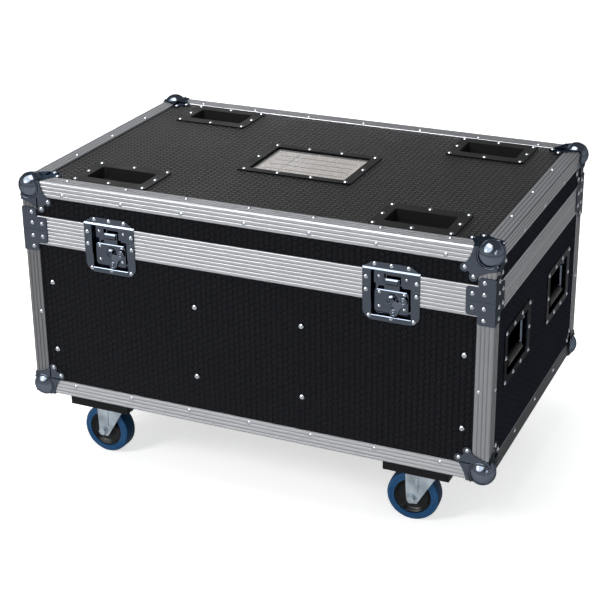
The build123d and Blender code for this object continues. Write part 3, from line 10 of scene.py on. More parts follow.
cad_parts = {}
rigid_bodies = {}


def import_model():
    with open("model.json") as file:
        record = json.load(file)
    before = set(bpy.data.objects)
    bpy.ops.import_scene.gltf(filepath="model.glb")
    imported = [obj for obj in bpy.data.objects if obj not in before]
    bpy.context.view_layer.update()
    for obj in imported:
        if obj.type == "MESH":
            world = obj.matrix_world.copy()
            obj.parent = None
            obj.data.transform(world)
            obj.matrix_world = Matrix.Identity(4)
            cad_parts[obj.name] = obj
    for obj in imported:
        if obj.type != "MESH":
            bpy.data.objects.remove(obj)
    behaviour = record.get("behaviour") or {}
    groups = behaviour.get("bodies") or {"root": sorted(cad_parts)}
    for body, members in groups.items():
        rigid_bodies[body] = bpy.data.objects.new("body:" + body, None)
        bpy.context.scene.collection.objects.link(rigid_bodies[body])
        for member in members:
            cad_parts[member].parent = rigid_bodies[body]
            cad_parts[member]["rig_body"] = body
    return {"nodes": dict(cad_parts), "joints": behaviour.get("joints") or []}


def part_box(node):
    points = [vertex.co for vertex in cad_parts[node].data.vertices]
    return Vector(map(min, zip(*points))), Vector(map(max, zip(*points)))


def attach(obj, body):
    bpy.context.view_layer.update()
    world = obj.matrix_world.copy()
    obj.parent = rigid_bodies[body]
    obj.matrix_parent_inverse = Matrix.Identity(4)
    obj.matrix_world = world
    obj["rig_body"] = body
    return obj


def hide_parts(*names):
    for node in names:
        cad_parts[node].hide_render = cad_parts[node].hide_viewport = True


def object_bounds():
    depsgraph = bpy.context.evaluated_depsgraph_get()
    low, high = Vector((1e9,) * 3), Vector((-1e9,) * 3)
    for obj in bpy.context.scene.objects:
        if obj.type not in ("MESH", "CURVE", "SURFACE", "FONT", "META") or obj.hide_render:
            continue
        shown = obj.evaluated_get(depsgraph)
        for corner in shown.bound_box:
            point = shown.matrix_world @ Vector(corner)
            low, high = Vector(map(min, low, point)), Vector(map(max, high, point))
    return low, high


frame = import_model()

bl_info = {
    "name": "Lighting Flight Case",
    "version": (1, 0, 0),
    "blender": (4, 5, 0),
    "location": "View3D > Sidebar > Flight Case",
    "description": "Dresses the flight case: laminate, profiles, fittings, latches, casters and lining",
    "category": "Object",
}

# Lengths are in metres
CAD_BOX = [list(corner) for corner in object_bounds()]
SIDES = ("left", "right")
ENDS = ("front", "back")
CORNERS = [end + "_" + side for side in SIDES for end in ENDS]
NEAR = 0.0001
WELD, FINE_WELD = 0.000002, 0.0000005


# Sizes and colours a user would change
def colour_setting(name, description, default):
    return FloatVectorProperty(name=name, description=description, subtype="COLOR", default=default)


def length_setting(name, description, default):
    return FloatProperty(name=name, description=description, unit="LENGTH", default=default)


def power_setting(name, description, default):
    return FloatProperty(name=name, description=description, subtype="POWER", default=default)


class CaseColours(bpy.types.PropertyGroup):
    laminate: colour_setting("Laminate", "Black film of the panels", (0.0038, 0.0040, 0.0054))
    aluminium: colour_setting("Aluminium", "Anodised edge profiles", (0.335, 0.342, 0.36))
    zinc: colour_setting("Bright zinc", "Pressed corners and latches", (0.049, 0.058, 0.073))
    rivet: colour_setting("Rivets", "Heads of the rivets", (0.29, 0.31, 0.34))
    satin: colour_setting("Satin zinc", "Caster forks, plates and hinges", (0.29, 0.33, 0.37))
    frame_paint: colour_setting("Dark steel", "Wheel pockets and label frame", (0.0045, 0.0045, 0.0048))
    board: colour_setting("Caster boards", "Black paint on plywood", (0.006, 0.006, 0.007))
    ply: colour_setting("Plywood", "Raw edge of the inner boards", (0.38, 0.25, 0.14))
    foam: colour_setting("Foam", "Lining", (0.030, 0.031, 0.034))
    card: colour_setting("Card", "Paper of the label", (0.51, 0.475, 0.455))
    ink: colour_setting("Card ruling", "Ruled lines of the label", (0.13, 0.12, 0.12))
    clear: colour_setting("Clear sheet", "Window over the label", (0.93, 0.94, 0.94))
    tyre: colour_setting("Tyre", "Blue elastic tyre", (0.008, 0.060, 0.155))
    hub: colour_setting("Hub", "Black nylon hub", (0.003, 0.0036, 0.0046))
    grip: colour_setting("Grip", "Handle sleeve", (0.008, 0.008, 0.009))
    floor: colour_setting("Floor", "Studio floor", (0.86, 0.86, 0.86))


class CaseSizes(bpy.types.PropertyGroup):
    hexagon_pitch: length_setting("Hexagon pitch", "From one raised hexagon to the next", 0.0124)
    hexagon_height: length_setting("Hexagon height", "How far the hexagons stand out", 0.0014)
    rib_round: length_setting("Rib edge", "Broken edges of hinges, caster plates and handle pans", 0.0003)
    rib_height: length_setting("Rib swell", "How far the ribs of the profiles swell", 0.0006)
    band_pitch: length_setting("Band rib pitch", "From rib to rib on the profiles at the joint", 0.0071)
    leg_ribs: IntProperty(name="Leg ribs", description="Ribs across one leg of an edge profile", default=4)
    press_round: length_setting("Press rounding", "Rounding of pressed sheet edges", 0.0007)
    cast_round: length_setting("Cast rounding", "Rounding of the cast parts of the latches", 0.0011)
    lip_length: length_setting("Lip length", "Length of the rolled lip below each latch recess", 0.073)
    lip_round: length_setting("Lip thickness", "Thickness of that lip; pockets round by a share of it",
                              0.0040)
    wing_tilt: FloatProperty(name="Wing tilt", description="How far a latch wing leans",
                             unit="ROTATION", default=math.radians(36.0))
    sheet_lift: length_setting("Sheet lift", "Air between the card and the clear sheet", 0.0003)
    collar_radius: length_setting("Collar radius", "Ring pressed round each ball corner", 0.0225)
    collar_bead: length_setting("Collar bead", "Half thickness of that ring", 0.0017)
    board_round: length_setting("Board edge", "Broken edges of the caster boards", 0.0009)
    foam_round: length_setting("Foam rounding", "Soft edge of the lining pads", 0.004)
    grip_rings: IntProperty(name="Grip rings", description="Raised rings of each handle sleeve", default=13)


class CaseStage(bpy.types.PropertyGroup):
    key_power: power_setting("Key light", "Soft light at the front left", 60.0)
    fill_power: power_setting("Fill light", "Soft light at the front right", 14.0)
    top_power: power_setting("Top light", "Soft light overhead", 70.0)
    back_power: power_setting("Back light", "Soft light at the back left", 9.0)
    room_level: FloatProperty(name="Room light", description="Level of the surroundings", default=0.40)
    ceiling_level: FloatProperty(name="Soft ceiling", description="Level of the light that only metal shows",
                                 default=7.0)
    floor_glow: FloatProperty(name="Floor glow", description="Lift that keeps the floor white", default=0.62)
    mirror_glow: FloatProperty(name="Floor in metal", description="The same lift, as metal shows it",
                               default=0.25)


def colours():
    return bpy.context.scene.case_colours


def sizes():
    return bpy.context.scene.case_sizes


# The frame
def middle(node):
    """Centre of a node's box."""
    low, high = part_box(node)
    return (low + high) / 2


def joint(name):
    """A joint of the case."""
    return next(item for item in frame["joints"] if item["name"] == name)


def joint_level():
    """Height where the lid meets the base."""
    return joint("lid_hinge")["pos_m"][2]


# Material building
class Nodes:
    """Puts a node tree together."""

    def __init__(self, tree):
        self.tree = tree

    def add(self, kind, *values, **settings):
        """A node with its settings, and its first sockets filled in order."""
        node = self.tree.nodes.new("ShaderNode" + kind)
        for name, value in settings.items():
            setattr(node, name, value)
        for socket, value in zip(node.inputs, values):
            self.plug(socket, value)
        return node

    def plug(self, socket, value):
        if isinstance(value, bpy.types.NodeSocket):
            self.tree.links.new(value, socket)
        elif socket.type == "RGBA":
            socket.default_value = (*tuple(value)[:3], 1.0)
        else:
            socket.default_value = value

    def math(self, operation, *values, clamp=False):
        return self.add("Math", *values, operation=operation, use_clamp=clamp).outputs[0]

    def vector(self, operation, *values, out="Vector"):
        return self.add("VectorMath", *values, operation=operation).outputs[out]

    def split(self, vector):
        return self.add("SeparateXYZ", vector).outputs

    def join(self, x, y, z):
        return self.add("CombineXYZ", x, y, z).outputs[0]

    def remap(self, value, low, high, to_low=0.0, to_high=1.0, smooth=False):
        ease = "SMOOTHSTEP" if smooth else "LINEAR"
        return self.add("MapRange", value, low, high, to_low, to_high, interpolation_type=ease).outputs[0]

    def blend(self, share, first, second):
        node = self.add("Mix", share, data_type="RGBA")
        self.plug(node.inputs[6], first)
        self.plug(node.inputs[7], second)
        return node.outputs[2]


class Finish(Nodes):
    """A material put together node by node."""

    def __init__(self, name, colour, metallic=0.0, roughness=0.5, specular=0.5):
        self.material = bpy.data.materials.new(name)
        self.material.use_nodes = True
        super().__init__(self.material.node_tree)
        self.shader = self.tree.nodes["Principled BSDF"]
        self.material.diffuse_color = (*colour, 1.0)
        self.colour(colour)
        self.rough(roughness)
        self.set("Metallic", metallic)
        self.set("Specular IOR Level", specular)
        self.place = self.add("TexCoord").outputs["Object"]

    def set(self, socket, value):
        self.plug(self.shader.inputs[socket], value)

    def colour(self, value):
        self.set("Base Color", value)

    def mottle(self, share, colour, dark, light):
        """Vary a colour between a darker and a lighter shade of it."""
        self.colour(self.blend(share, shade(colour, dark), shade(colour, light)))

    def rough(self, value):
        self.set("Roughness", value)

    def uneven(self, cloud, low, high):
        """Vary the roughness by a noise."""
        self.rough(self.remap(cloud, 0.3, 0.7, low, high))

    def edge_tint(self, colour):
        """How a metal reflects where it is seen at a low angle."""
        self.set("Specular Tint", colour)

    def noise(self, scale, detail=3.0, stretch=(1.0, 1.0, 1.0), roughness=0.5, place=None):
        node = self.add("TexNoise", place or self.vector("MULTIPLY", self.place, stretch))
        for socket, value in (("Scale", scale), ("Detail", detail), ("Roughness", roughness)):
            node.inputs[socket].default_value = value
        return node.outputs["Fac"]

    def cells(self, scale):
        node = self.add("TexVoronoi", self.place)
        node.inputs["Scale"].default_value = scale
        return node.outputs["Distance"]

    def bump(self, height, distance, strength=1.0):
        node = self.add("Bump")
        node.inputs["Distance"].default_value = distance
        node.inputs["Strength"].default_value = strength
        self.plug(node.inputs["Height"], height)
        self.set("Normal", node.outputs[0])


def shade(colour, factor):
    """A colour made lighter or darker."""
    return tuple(min(1.0, channel * factor) for channel in colour)


# Materials; each is built once and shared
@functools.cache
def laminate(across, up, sheen, relief, painted_lightness):
    """Black film embossed with hexagons; across and up are the axes of the panel; its lightness is painted
    light, set per facing.
    """
    film = shade(colours().laminate, painted_lightness)
    finish = Finish("Laminate " + across + up, film, roughness=0.42, specular=sheen)
    axes = finish.split(finish.place)
    flat = finish.join(axes["XYZ".index(up)], axes["XYZ".index(across)], 0.0)
    scaled = finish.vector("DIVIDE", flat, (sizes().hexagon_pitch,) * 3)
    half = (0.5, math.sqrt(3) / 2, 1.0)
    low = tuple(-number for number in half)
    first = finish.vector("WRAP", scaled, half, low)
    moved = finish.vector("ADD", scaled, (half[0], half[1], 0.0))
    second = finish.vector("WRAP", moved, half, low)
    nearer = finish.math("LESS_THAN", finish.vector("LENGTH", first, out="Value"),
                         finish.vector("LENGTH", second, out="Value"))
    mix = finish.add("Mix", nearer, data_type="VECTOR")
    finish.plug(mix.inputs[4], second)
    finish.plug(mix.inputs[5], first)
    local = finish.vector("ABSOLUTE", mix.outputs[1])
    reach = finish.vector("DOT_PRODUCT", local, (half[0], half[1], 0.0), out="Value")
    outer = finish.math("MAXIMUM", finish.split(local)[0], reach)
    pad = finish.remap(outer, 0.485, 0.37, smooth=True)
    dish = finish.remap(outer, 0.34, 0.16, 0.0, 0.22, smooth=True)
    grain = finish.noise(900.0, 2.0)
    cloud = finish.noise(5.0, 3.0)
    height = finish.math("SUBTRACT", pad, dish)
    height = finish.math("MULTIPLY_ADD", grain, 0.10, height)
    tone = finish.blend(cloud, shade(film, 0.8), shade(film, 1.25))
    # Painted shade: the grooves round the hexagon pads are darker; the pads keep a random tone.
    finish.colour(finish.blend(pad, shade(film, 1.0 - 0.8 * min(relief, 1.0)), tone))
    finish.rough(finish.math("MULTIPLY_ADD", cloud, 0.12, finish.remap(pad, 0, 1, 0.50, 0.26)))
    finish.bump(height, sizes().hexagon_height * relief)
    return finish.material


@functools.cache
def aluminium():
    """Drawn profile with soft ribs and fine lines along it, with painted shade in the grooves and on
    uprights, low end bars and noses.
    """
    finish = Finish("Anodised aluminium", colours().aluminium, metallic=1.0, roughness=0.3)
    cloud = finish.noise(7.0, 4.0)
    ribs = finish.split(finish.add("UVMap", uv_map="ribs").outputs[0])
    across, along = ribs[0], ribs[1]
    gap = finish.math("PINGPONG", across, 0.5)
    swell = finish.remap(gap, 0.07, 0.34, smooth=True)
    drawn = finish.noise(1.0, 3.0, place=finish.join(finish.math("MULTIPLY", across, 9.0),
                                                     finish.math("MULTIPLY", along, 2.5), 0.0))
    metal = finish.blend(cloud, shade(colours().aluminium, 0.92), shade(colours().aluminium, 1.08))
    metal = finish.blend(finish.remap(drawn, 0.35, 0.65), metal, shade(colours().aluminium, 0.95))
    # Painted shade in the grooves between the ribs.
    metal = finish.blend(finish.remap(gap, 0.12, 0.07), metal, shade(colours().aluminium, 0.6))
    # Painted shade from a face attribute: darker uprights, low end bars and rounded noses.
    shade_amount = finish.add("Attribute", attribute_name="dulled").outputs["Fac"]
    shade_factor = finish.math("SUBTRACT", 1.0, shade_amount)
    finish.colour(finish.vector("MULTIPLY", metal, finish.join(shade_factor, shade_factor, shade_factor)))
    finish.rough(finish.math("MULTIPLY_ADD", cloud, 0.10, finish.remap(drawn, 0.3, 0.7, 0.27, 0.33)))
    finish.edge_tint((0.45, 0.45, 0.45))
    finish.bump(swell, sizes().rib_height)
    return finish.material


# Painted light in the zinc by place: lighter copies paint highlights and sheen, darker ones paint shade; the
# plain pressings have one
HIGHLIGHT_ZINC, SHEEN_ZINC, WING_SHEEN_ZINC, PAN_SHADE_ZINC, PAN_INSIDE_SHADE_ZINC = 2.8, 1.7, 1.5, 0.25, 0.38


@functools.cache
def bright_zinc(painted_lightness=1.0):
    """Zinc of the pressed and cast fittings; its lightness factor makes lighter copies for painted
    highlights and darker ones for painted shade.
    """
    zinc = shade(colours().zinc, painted_lightness)
    finish = Finish("Bright zinc %d" % round(100 * painted_lightness), zinc, metallic=1.0, roughness=0.14)
    cloud = finish.noise(26.0, 4.0)
    scuff = finish.remap(finish.noise(420.0, 5.0, roughness=0.7), 0.60, 0.78)
    finish.mottle(cloud, zinc, 0.84, 1.14)
    finish.rough(finish.math("MULTIPLY_ADD", scuff, 0.10, finish.remap(cloud, 0.3, 0.7, 0.07, 0.14)))
    finish.edge_tint((0.35, 0.35, 0.35))
    finish.bump(finish.noise(38.0, 2.0), 0.0005, 0.12)
    return finish.material


@functools.cache
def rivet_steel():
    finish = Finish("Rivet steel", colours().rivet, metallic=1.0, roughness=0.16)
    spots = finish.noise(900.0, 3.0)
    finish.mottle(spots, colours().rivet, 0.8, 1.15)
    finish.uneven(spots, 0.10, 0.24)
    finish.bump(spots, 0.00003, 0.5)
    return finish.material


@functools.cache
def satin_zinc():
    finish = Finish("Satin zinc", colours().satin, metallic=1.0, roughness=0.34)
    crystal = finish.cells(260.0)
    cloud = finish.noise(34.0, 4.0)
    patches = finish.remap(cloud, 0.32, 0.68)
    finish.mottle(patches, colours().satin, 0.66, 1.25)
    finish.rough(finish.math("MULTIPLY_ADD", crystal, 0.12, finish.remap(cloud, 0.3, 0.7, 0.24, 0.36)))
    finish.edge_tint((0.3, 0.3, 0.3))
    finish.bump(finish.noise(500.0, 3.0), 0.00005, 0.6)
    return finish.material


@functools.cache
def dark_steel(sheen):
    name = "Dark steel %d" % round(100 * sheen)
    finish = Finish(name, colours().frame_paint, roughness=0.22, specular=sheen)
    cloud = finish.noise(14.0, 3.0)
    peel = finish.noise(420.0, 2.0)
    finish.mottle(cloud, colours().frame_paint, 0.75, 1.3)
    finish.uneven(cloud, 0.38, 0.52)
    finish.bump(peel, 0.00006, 0.5)
    return finish.material


@functools.cache
def black_board():
    finish = Finish("Painted board", colours().board, roughness=0.6, specular=0.07)
    grain = finish.noise(40.0, 5.0, stretch=(6.0, 0.5, 6.0))
    finish.mottle(grain, colours().board, 0.7, 1.6)
    finish.uneven(grain, 0.5, 0.72)
    finish.bump(grain, 0.0005, 0.5)
    return finish.material


@functools.cache
def inner_board():
    """Film-faced plywood whose layers show along the upper edge."""
    finish = Finish("Inner board", colours().laminate, roughness=0.5, specular=0.3)
    axes = finish.split(finish.place)
    facing = finish.split(finish.add("NewGeometry").outputs["Normal"])
    edge = finish.remap(finish.math("ABSOLUTE", facing[2]), 0.6, 0.8)
    layer = finish.math("PINGPONG", finish.math("MULTIPLY", axes[0], 550.0), 1.0)
    layer = finish.remap(layer, 0.35, 0.65, smooth=True)
    grain = finish.noise(90.0, 4.0, stretch=(8.0, 0.4, 8.0))
    ply = finish.blend(layer, shade(colours().ply, 0.62), colours().ply)
    ply = finish.blend(finish.remap(grain, 0.35, 0.7), ply, shade(colours().ply, 1.25))
    film = finish.blend(grain, shade(colours().laminate, 0.8), shade(colours().laminate, 1.4))
    finish.colour(finish.blend(edge, film, ply))
    finish.rough(finish.remap(edge, 0, 1, 0.42, 0.75))
    finish.bump(grain, 0.0003, 0.4)
    return finish.material


@functools.cache
def foam():
    finish = Finish("Lining foam", colours().foam, roughness=0.95, specular=0.15)
    bubbles = finish.cells(620.0)
    cloud = finish.noise(9.0, 3.0)
    finish.colour(finish.blend(finish.math("MULTIPLY", bubbles, 1.2), shade(colours().foam, 0.55),
                               shade(colours().foam, 1.35)))
    finish.uneven(cloud, 0.88, 1.0)
    finish.shader.inputs["Sheen Weight"].default_value = 0.25
    finish.bump(finish.math("MULTIPLY_ADD", cloud, 2.0, bubbles), 0.0007, 0.8)
    return finish.material


@functools.cache
def card_paper():
    """Paper with plain ruled lines and one column line."""
    finish = Finish("Card paper", colours().card, roughness=0.75, specular=0.25)
    axes = finish.split(finish.place)
    half_gap, margin_x, margin_y, column_left = 0.0125, 0.010, 0.008, 0.046
    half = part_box("label_card")[1] - middle("label_card")
    down = finish.math("SUBTRACT", axes[1], middle("label_card").y)
    rule = finish.math("PINGPONG", finish.math("ADD", down, half_gap), half_gap)
    line = finish.remap(rule, 0.0008, 0.0030, 1.0, 0.0)
    inside_x = finish.math("LESS_THAN", finish.math("ABSOLUTE", axes[0]), half.x - margin_x)
    inside_y = finish.math("LESS_THAN", finish.math("ABSOLUTE", down), half.y - margin_y)
    column = finish.math("ABSOLUTE", finish.math("ADD", axes[0], column_left))
    column = finish.remap(column, 0.0004, 0.0020, 1.0, 0.0)
    ink = finish.math("MAXIMUM", line, column)
    ink = finish.math("MULTIPLY", ink, finish.math("MULTIPLY", inside_x, inside_y))
    fibre = finish.noise(12.0, 1.0)
    paper = finish.blend(fibre, shade(colours().card, 0.97), shade(colours().card, 1.03))
    finish.colour(finish.blend(finish.math("MULTIPLY", ink, 0.8), paper, colours().ink))
    finish.bump(fibre, 0.00004, 0.3)
    return finish.material


@functools.cache
def clear_sheet():
    finish = Finish("Clear sheet", colours().clear, roughness=0.06)
    finish.shader.inputs["Alpha"].default_value = 0.09
    haze = finish.noise(6.0, 1.0)
    finish.rough(finish.remap(haze, 0.35, 0.75, 0.05, 0.12))
    return finish.material


@functools.cache
def blue_tyre(shaded_tread=False):
    # Painted shade: the tread is a darker copy of the tyre colour.
    rubber = shade(colours().tyre, 0.35 if shaded_tread else 1.0)
    name, shine = ("Blue tyre tread", 0.08) if shaded_tread else ("Blue tyre", 0.2)
    finish = Finish(name, rubber, roughness=0.5, specular=shine)
    dust = finish.noise(120.0, 5.0)
    cloud = finish.noise(30.0, 3.0)
    finish.colour(finish.blend(finish.remap(dust, 0.45, 0.8), rubber, shade(rubber, 1.35)))
    finish.uneven(cloud, 0.40, 0.58)
    finish.bump(dust, 0.00015, 0.4)
    return finish.material


@functools.cache
def black_nylon():
    finish = Finish("Black nylon", colours().hub, roughness=0.28, specular=0.16)
    fine = finish.noise(700.0, 2.0)
    cloud = finish.noise(25.0, 3.0)
    finish.mottle(cloud, colours().hub, 0.7, 1.5)
    finish.uneven(cloud, 0.20, 0.34)
    finish.bump(fine, 0.00003, 0.6)
    return finish.material


@functools.cache
def grip_rubber():
    finish = Finish("Grip rubber", colours().grip, roughness=0.55, specular=0.12)
    fine = finish.noise(900.0, 3.0)
    finish.mottle(fine, colours().grip, 0.7, 1.5)
    finish.uneven(fine, 0.45, 0.65)
    finish.bump(fine, 0.0001, 0.6)
    return finish.material


# Shape helpers
def merged(node):
    """A joined copy of a CAD node with flat areas made whole."""
    shape = bmesh.new()
    shape.from_mesh(frame["nodes"][node].data)
    bmesh.ops.remove_doubles(shape, verts=shape.verts, dist=WELD)
    bmesh.ops.dissolve_limit(shape, angle_limit=math.radians(0.6), verts=shape.verts, edges=shape.edges,
                             use_dissolve_boundaries=False, delimit=set())
    return shape


def round_edges(shape, width, segments=2, sharper=32.0, only=None):
    """Round the edges of a shape that turn by more than an angle."""
    edges = [edge for edge in shape.edges
             if len(edge.link_faces) == 2 and edge.calc_face_angle(0.0) > math.radians(sharper)
             and (only is None or only(edge))]
    bmesh.ops.bevel(shape, geom=edges, offset=width, offset_type="OFFSET", segments=segments,
                    profile=0.5, affect="EDGES", clamp_overlap=True, material=-1)


def round_rim(shape, width, where):
    """Round the rim of a drawn pocket more than the rest; where tells whether a point is on it."""
    round_edges(shape, width, 5, 60.0, only=lambda edge: all(where(vert.co) for vert in edge.verts))


def keep_flats(shape, bend):
    """Shade curved strips smooth and plane areas flat, with sharp edges above an angle."""
    square_on, small_area, wide_area, much_wider = 0.99999, 0.00001, 0.00002, 2.5
    for edge in shape.edges:
        edge.smooth = len(edge.link_faces) == 2 and edge.calc_face_angle(0.0) < bend
    areas = {face: face.calc_area() for face in shape.faces}
    for face, area in areas.items():
        square = max(abs(number) for number in face.normal) > square_on
        beside = [areas[other] for edge in face.edges if edge.smooth for other in edge.link_faces
                  if other is not face]
        wide = area > wide_area and (not beside or area > much_wider * max(beside))
        face.smooth = not (wide or square and area > small_area)


def mesh_of(name, shape):
    """A mesh made of a shape, which is used up."""
    mesh = bpy.data.meshes.new(name)
    shape.to_mesh(mesh)
    shape.free()
    return mesh


def placed(name, data):
    """An object of the scene that shows a mesh, a lamp or a camera."""
    obj = bpy.data.objects.new(name, data)
    bpy.context.scene.collection.objects.link(obj)
    return obj


def piece(node, name, shape, material, sharp=38.0):
    """Make an object of a shape; it stands for a CAD node and rides on that node's body."""
    keep_flats(shape, math.radians(sharp))
    obj = placed(name, mesh_of(name, shape))
    obj.data.materials.append(material)
    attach(obj, frame["nodes"][node]["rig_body"])
    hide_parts(node)
    return obj


def polished(node, name, material, width):
    """A copy of a CAD node with rounded edges, in its own material."""
    shape = merged(node)
    round_edges(shape, width)
    return piece(node, name, shape, material)


def second_finish(obj, material, where):
    """Another finish for the faces that pass a test."""
    obj.data.materials.append(material)
    for face in obj.data.polygons:
        if where(face):
            face.material_index = 1


def dress(node, material):
    """Give a CAD node a material and leave its shape."""
    materials = frame["nodes"][node].data.materials
    materials.clear()
    materials.append(material)


def spun(shape, profile, centre, axis, steps, start=None, angle=math.tau):
    """Turn a closed profile of (along the axis, out from it) round an axis."""
    axis = Vector(axis).normalized()
    out = Vector(start) if start else axis.orthogonal()
    out = (out - axis * out.dot(axis)).normalized()
    ring = [shape.verts.new(Vector(centre) + axis * along + out * radius) for along, radius in profile]
    edges = [shape.edges.new((ring[index - 1], ring[index])) for index in range(len(ring))]
    bmesh.ops.spin(shape, geom=ring + edges, cent=centre, axis=axis, dvec=(0, 0, 0), angle=angle,
                   steps=steps, use_merge=angle == math.tau, use_normal_flip=False, use_duplicate=False)


def tidy_normals(shape):
    bmesh.ops.remove_doubles(shape, verts=shape.verts, dist=FINE_WELD)
    bmesh.ops.recalc_face_normals(shape, faces=shape.faces)


def add_closed(shape, extra):
    """Close the open ends of another shape and add it."""
    tidy_normals(extra)
    bmesh.ops.holes_fill(extra, edges=[edge for edge in extra.edges if edge.is_boundary], sides=0)
    tidy_normals(extra)
    mesh = mesh_of("extra", extra)
    shape.from_mesh(mesh)
    bpy.data.meshes.remove(mesh)


def arc_points(centre, radius, start, stop, count):
    """Points of an arc in a profile, angles in degrees."""
    angles = [math.radians(start + (stop - start) * index / count) for index in range(count + 1)]
    return [(centre[0] + radius * math.cos(angle), centre[1] + radius * math.sin(angle)) for angle in angles]


def bead_profile(centre, radius):
    """A round bead's outline."""
    return arc_points(centre, radius, 0, 330, 11)


# Panels
class CASE_OT_panels(bpy.types.Operator):
    """Embossed black film on every panel"""
    bl_idname = "flight_case.panels"
    bl_label = "Panels"

    def execute(self, context):
        for node in ("base_front_panel", "base_back_panel", "lid_long_panels"):
            # Each facing gets its own lightness of the film as painted light: the ends lighter, the top
            # darker.
            dress(node, laminate("X", "Z", sheen=0.04, relief=1.0, painted_lightness=1.8))
        for node in ("base_end_panels", "lid_end_panels"):
            dress(node, laminate("Y", "Z", sheen=0.0, relief=0.4, painted_lightness=4.2))
        for node in ("base_floor_panel", "lid_top_panel"):
            dress(node, laminate("X", "Y", sheen=0.05, relief=2.2, painted_lightness=0.5))
        return {"FINISHED"}


# Profiles
def bars(shape):
    """The separate bars of a shape, as lists of faces."""
    left = set(shape.faces)
    while left:
        found = [left.pop()]
        for face in found:
            for edge in face.edges:
                for other in edge.link_faces:
                    if other in left:
                        left.discard(other)
                        found.append(other)
        yield found


def painted_shade_of(normal, along, low, high, centre):
    """Share of painted shade on a face of a bar, which darkens the uprights, low end bars and rounded noses.
    """
    right_upright, left_upright, low_end, nose = 0.40, 0.58, 0.72, 0.62
    if along == 2:
        return right_upright if low[0] > centre[0] else left_upright
    if along == 1 and high[2] < centre[2] and abs(normal.x) > 0.7:
        return low_end
    return nose if 0.3 < normal.z < 0.95 else 0.0


def number_ribs(shape, start):
    """Write on each face the rib number, from the outer corner or a level, and its share of painted shade.
    """
    layer = shape.loops.layers.uv.new("ribs")
    dulled = shape.faces.layers.float.new("dulled")
    centre = (Vector(CAD_BOX[0]) + Vector(CAD_BOX[1])) / 2
    for bar in bars(shape):
        points = [vert.co for face in bar for vert in face.verts]
        low = [min(point[axis] for point in points) for axis in range(3)]
        high = [max(point[axis] for point in points) for axis in range(3)]
        along = max(range(3), key=lambda axis: high[axis] - low[axis])
        for face in bar:
            face[dulled] = painted_shade_of(face.normal, along, low, high, centre)
            facing = max({0, 1, 2} - {along}, key=lambda axis: abs(face.normal[axis]))
            across = 3 - along - facing
            if start is None or across != 2:
                outer = abs(low[across] - centre[across]) > abs(high[across] - centre[across])
                edge = low[across] if outer else high[across]
                step = (high[across] - low[across]) / sizes().leg_ribs
            else:
                edge, step = start, sizes().band_pitch
            for loop in face.loops:
                loop[layer].uv = (abs(loop.vert.co[across] - edge) / step, loop.vert.co[along])


class CASE_OT_profiles(bpy.types.Operator):
    """Ribbed aluminium edge profiles and the tongue and groove round the rims"""
    bl_idname = "flight_case.profiles"
    bl_label = "Profiles"

    def execute(self, context):
        for node, name, start in (("base_edge_profiles", "base_edging", None),
                                  ("base_tongue_profiles", "base_rim", joint_level()),
                                  ("lid_edge_profiles", "lid_edging", None),
                                  ("lid_groove_profiles", "lid_rim", joint_level())):
            shape = merged(node)
            number_ribs(shape, start)
            piece(node, name, shape, aluminium())
        return {"FINISHED"}


# Rivets
class CASE_OT_rivets(bpy.types.Operator):
    """Domed rivets and screws"""
    bl_idname = "flight_case.rivets"
    bl_label = "Rivets"

    def execute(self, context):
        for node, name in (("base_rivets", "base_rivet_heads"), ("lid_rivets", "lid_rivet_heads")):
            piece(node, name, merged(node), rivet_steel())
        return {"FINISHED"}


# Ball corners and braces
BALL_INSET = 0.0135
COLLAR_STAND = 0.0015
COLLAR_ZONE = 0.0245
COLLAR_FACE_AREA = 0.00003


def collar(shape, corner, signs, facing):
    """A pressed ring on one face of a ball corner."""
    settings = sizes()
    centre = [corner[axis] - signs[axis] * BALL_INSET for axis in range(3)]
    centre[facing] = corner[facing] + signs[facing] * COLLAR_STAND
    first, second = [axis for axis in range(3) if axis != facing]
    reach = math.asin((BALL_INSET + COLLAR_STAND) / settings.collar_radius)
    toward = Vector()
    toward[first] = -signs[first] * math.cos(reach)
    toward[second] = signs[second] * math.sin(reach)
    inward = Vector([0.0 if axis == facing else -signs[axis] for axis in range(3)])
    axis = Vector()
    axis[facing] = math.copysign(1.0, toward.cross(inward)[facing])
    way = axis[facing] * signs[facing]
    profile = [(along * way, settings.collar_radius + out)
               for along, out in bead_profile((0.0, 0.0), settings.collar_bead)]
    spun(shape, profile, centre, axis, 20, start=toward, angle=math.pi / 2 + 2 * reach)


class CASE_OT_corners(bpy.types.Operator):
    """Ball corners with their pressed collars, and the corner braces at the joint"""
    bl_idname = "flight_case.corners"
    bl_label = "Corners"

    def execute(self, context):
        low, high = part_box("base_edge_profiles")
        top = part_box("lid_edge_profiles")[1].z
        for part, level, up in (("base", low.z, -1), ("lid", top, 1)):
            shape = merged(part + "_ball_corners")
            round_edges(shape, sizes().press_round)
            rings = bmesh.new()
            for x in (-1, 1):
                for y in (-1, 1):
                    for axis in range(3):
                        collar(rings, (high.x * x, high.y * y, level), (x, y, up), axis)
            add_closed(shape, rings)
            corners = piece(part + "_ball_corners", part + "_corners", shape, bright_zinc())

            def gets_painted_sheen(face):
                """Whether a face is a small face of a ball or its collars, by its size and its distance from
                a ball's middle; these get a painted sheen.
                """
                place = Vector((abs(face.center.x) - high.x, abs(face.center.y) - high.y,
                                (face.center.z - level) * up))
                away = (place + Vector([BALL_INSET] * 3)).length
                return face.area < COLLAR_FACE_AREA and away < COLLAR_ZONE

            # Painted sheen: the balls and collars get a lighter zinc.
            second_finish(corners, bright_zinc(SHEEN_ZINC), gets_painted_sheen)
        for part in ("base", "lid"):
            polished(part + "_corner_braces", part + "_braces", bright_zinc(),
                     sizes().press_round)
        return {"FINISHED"}


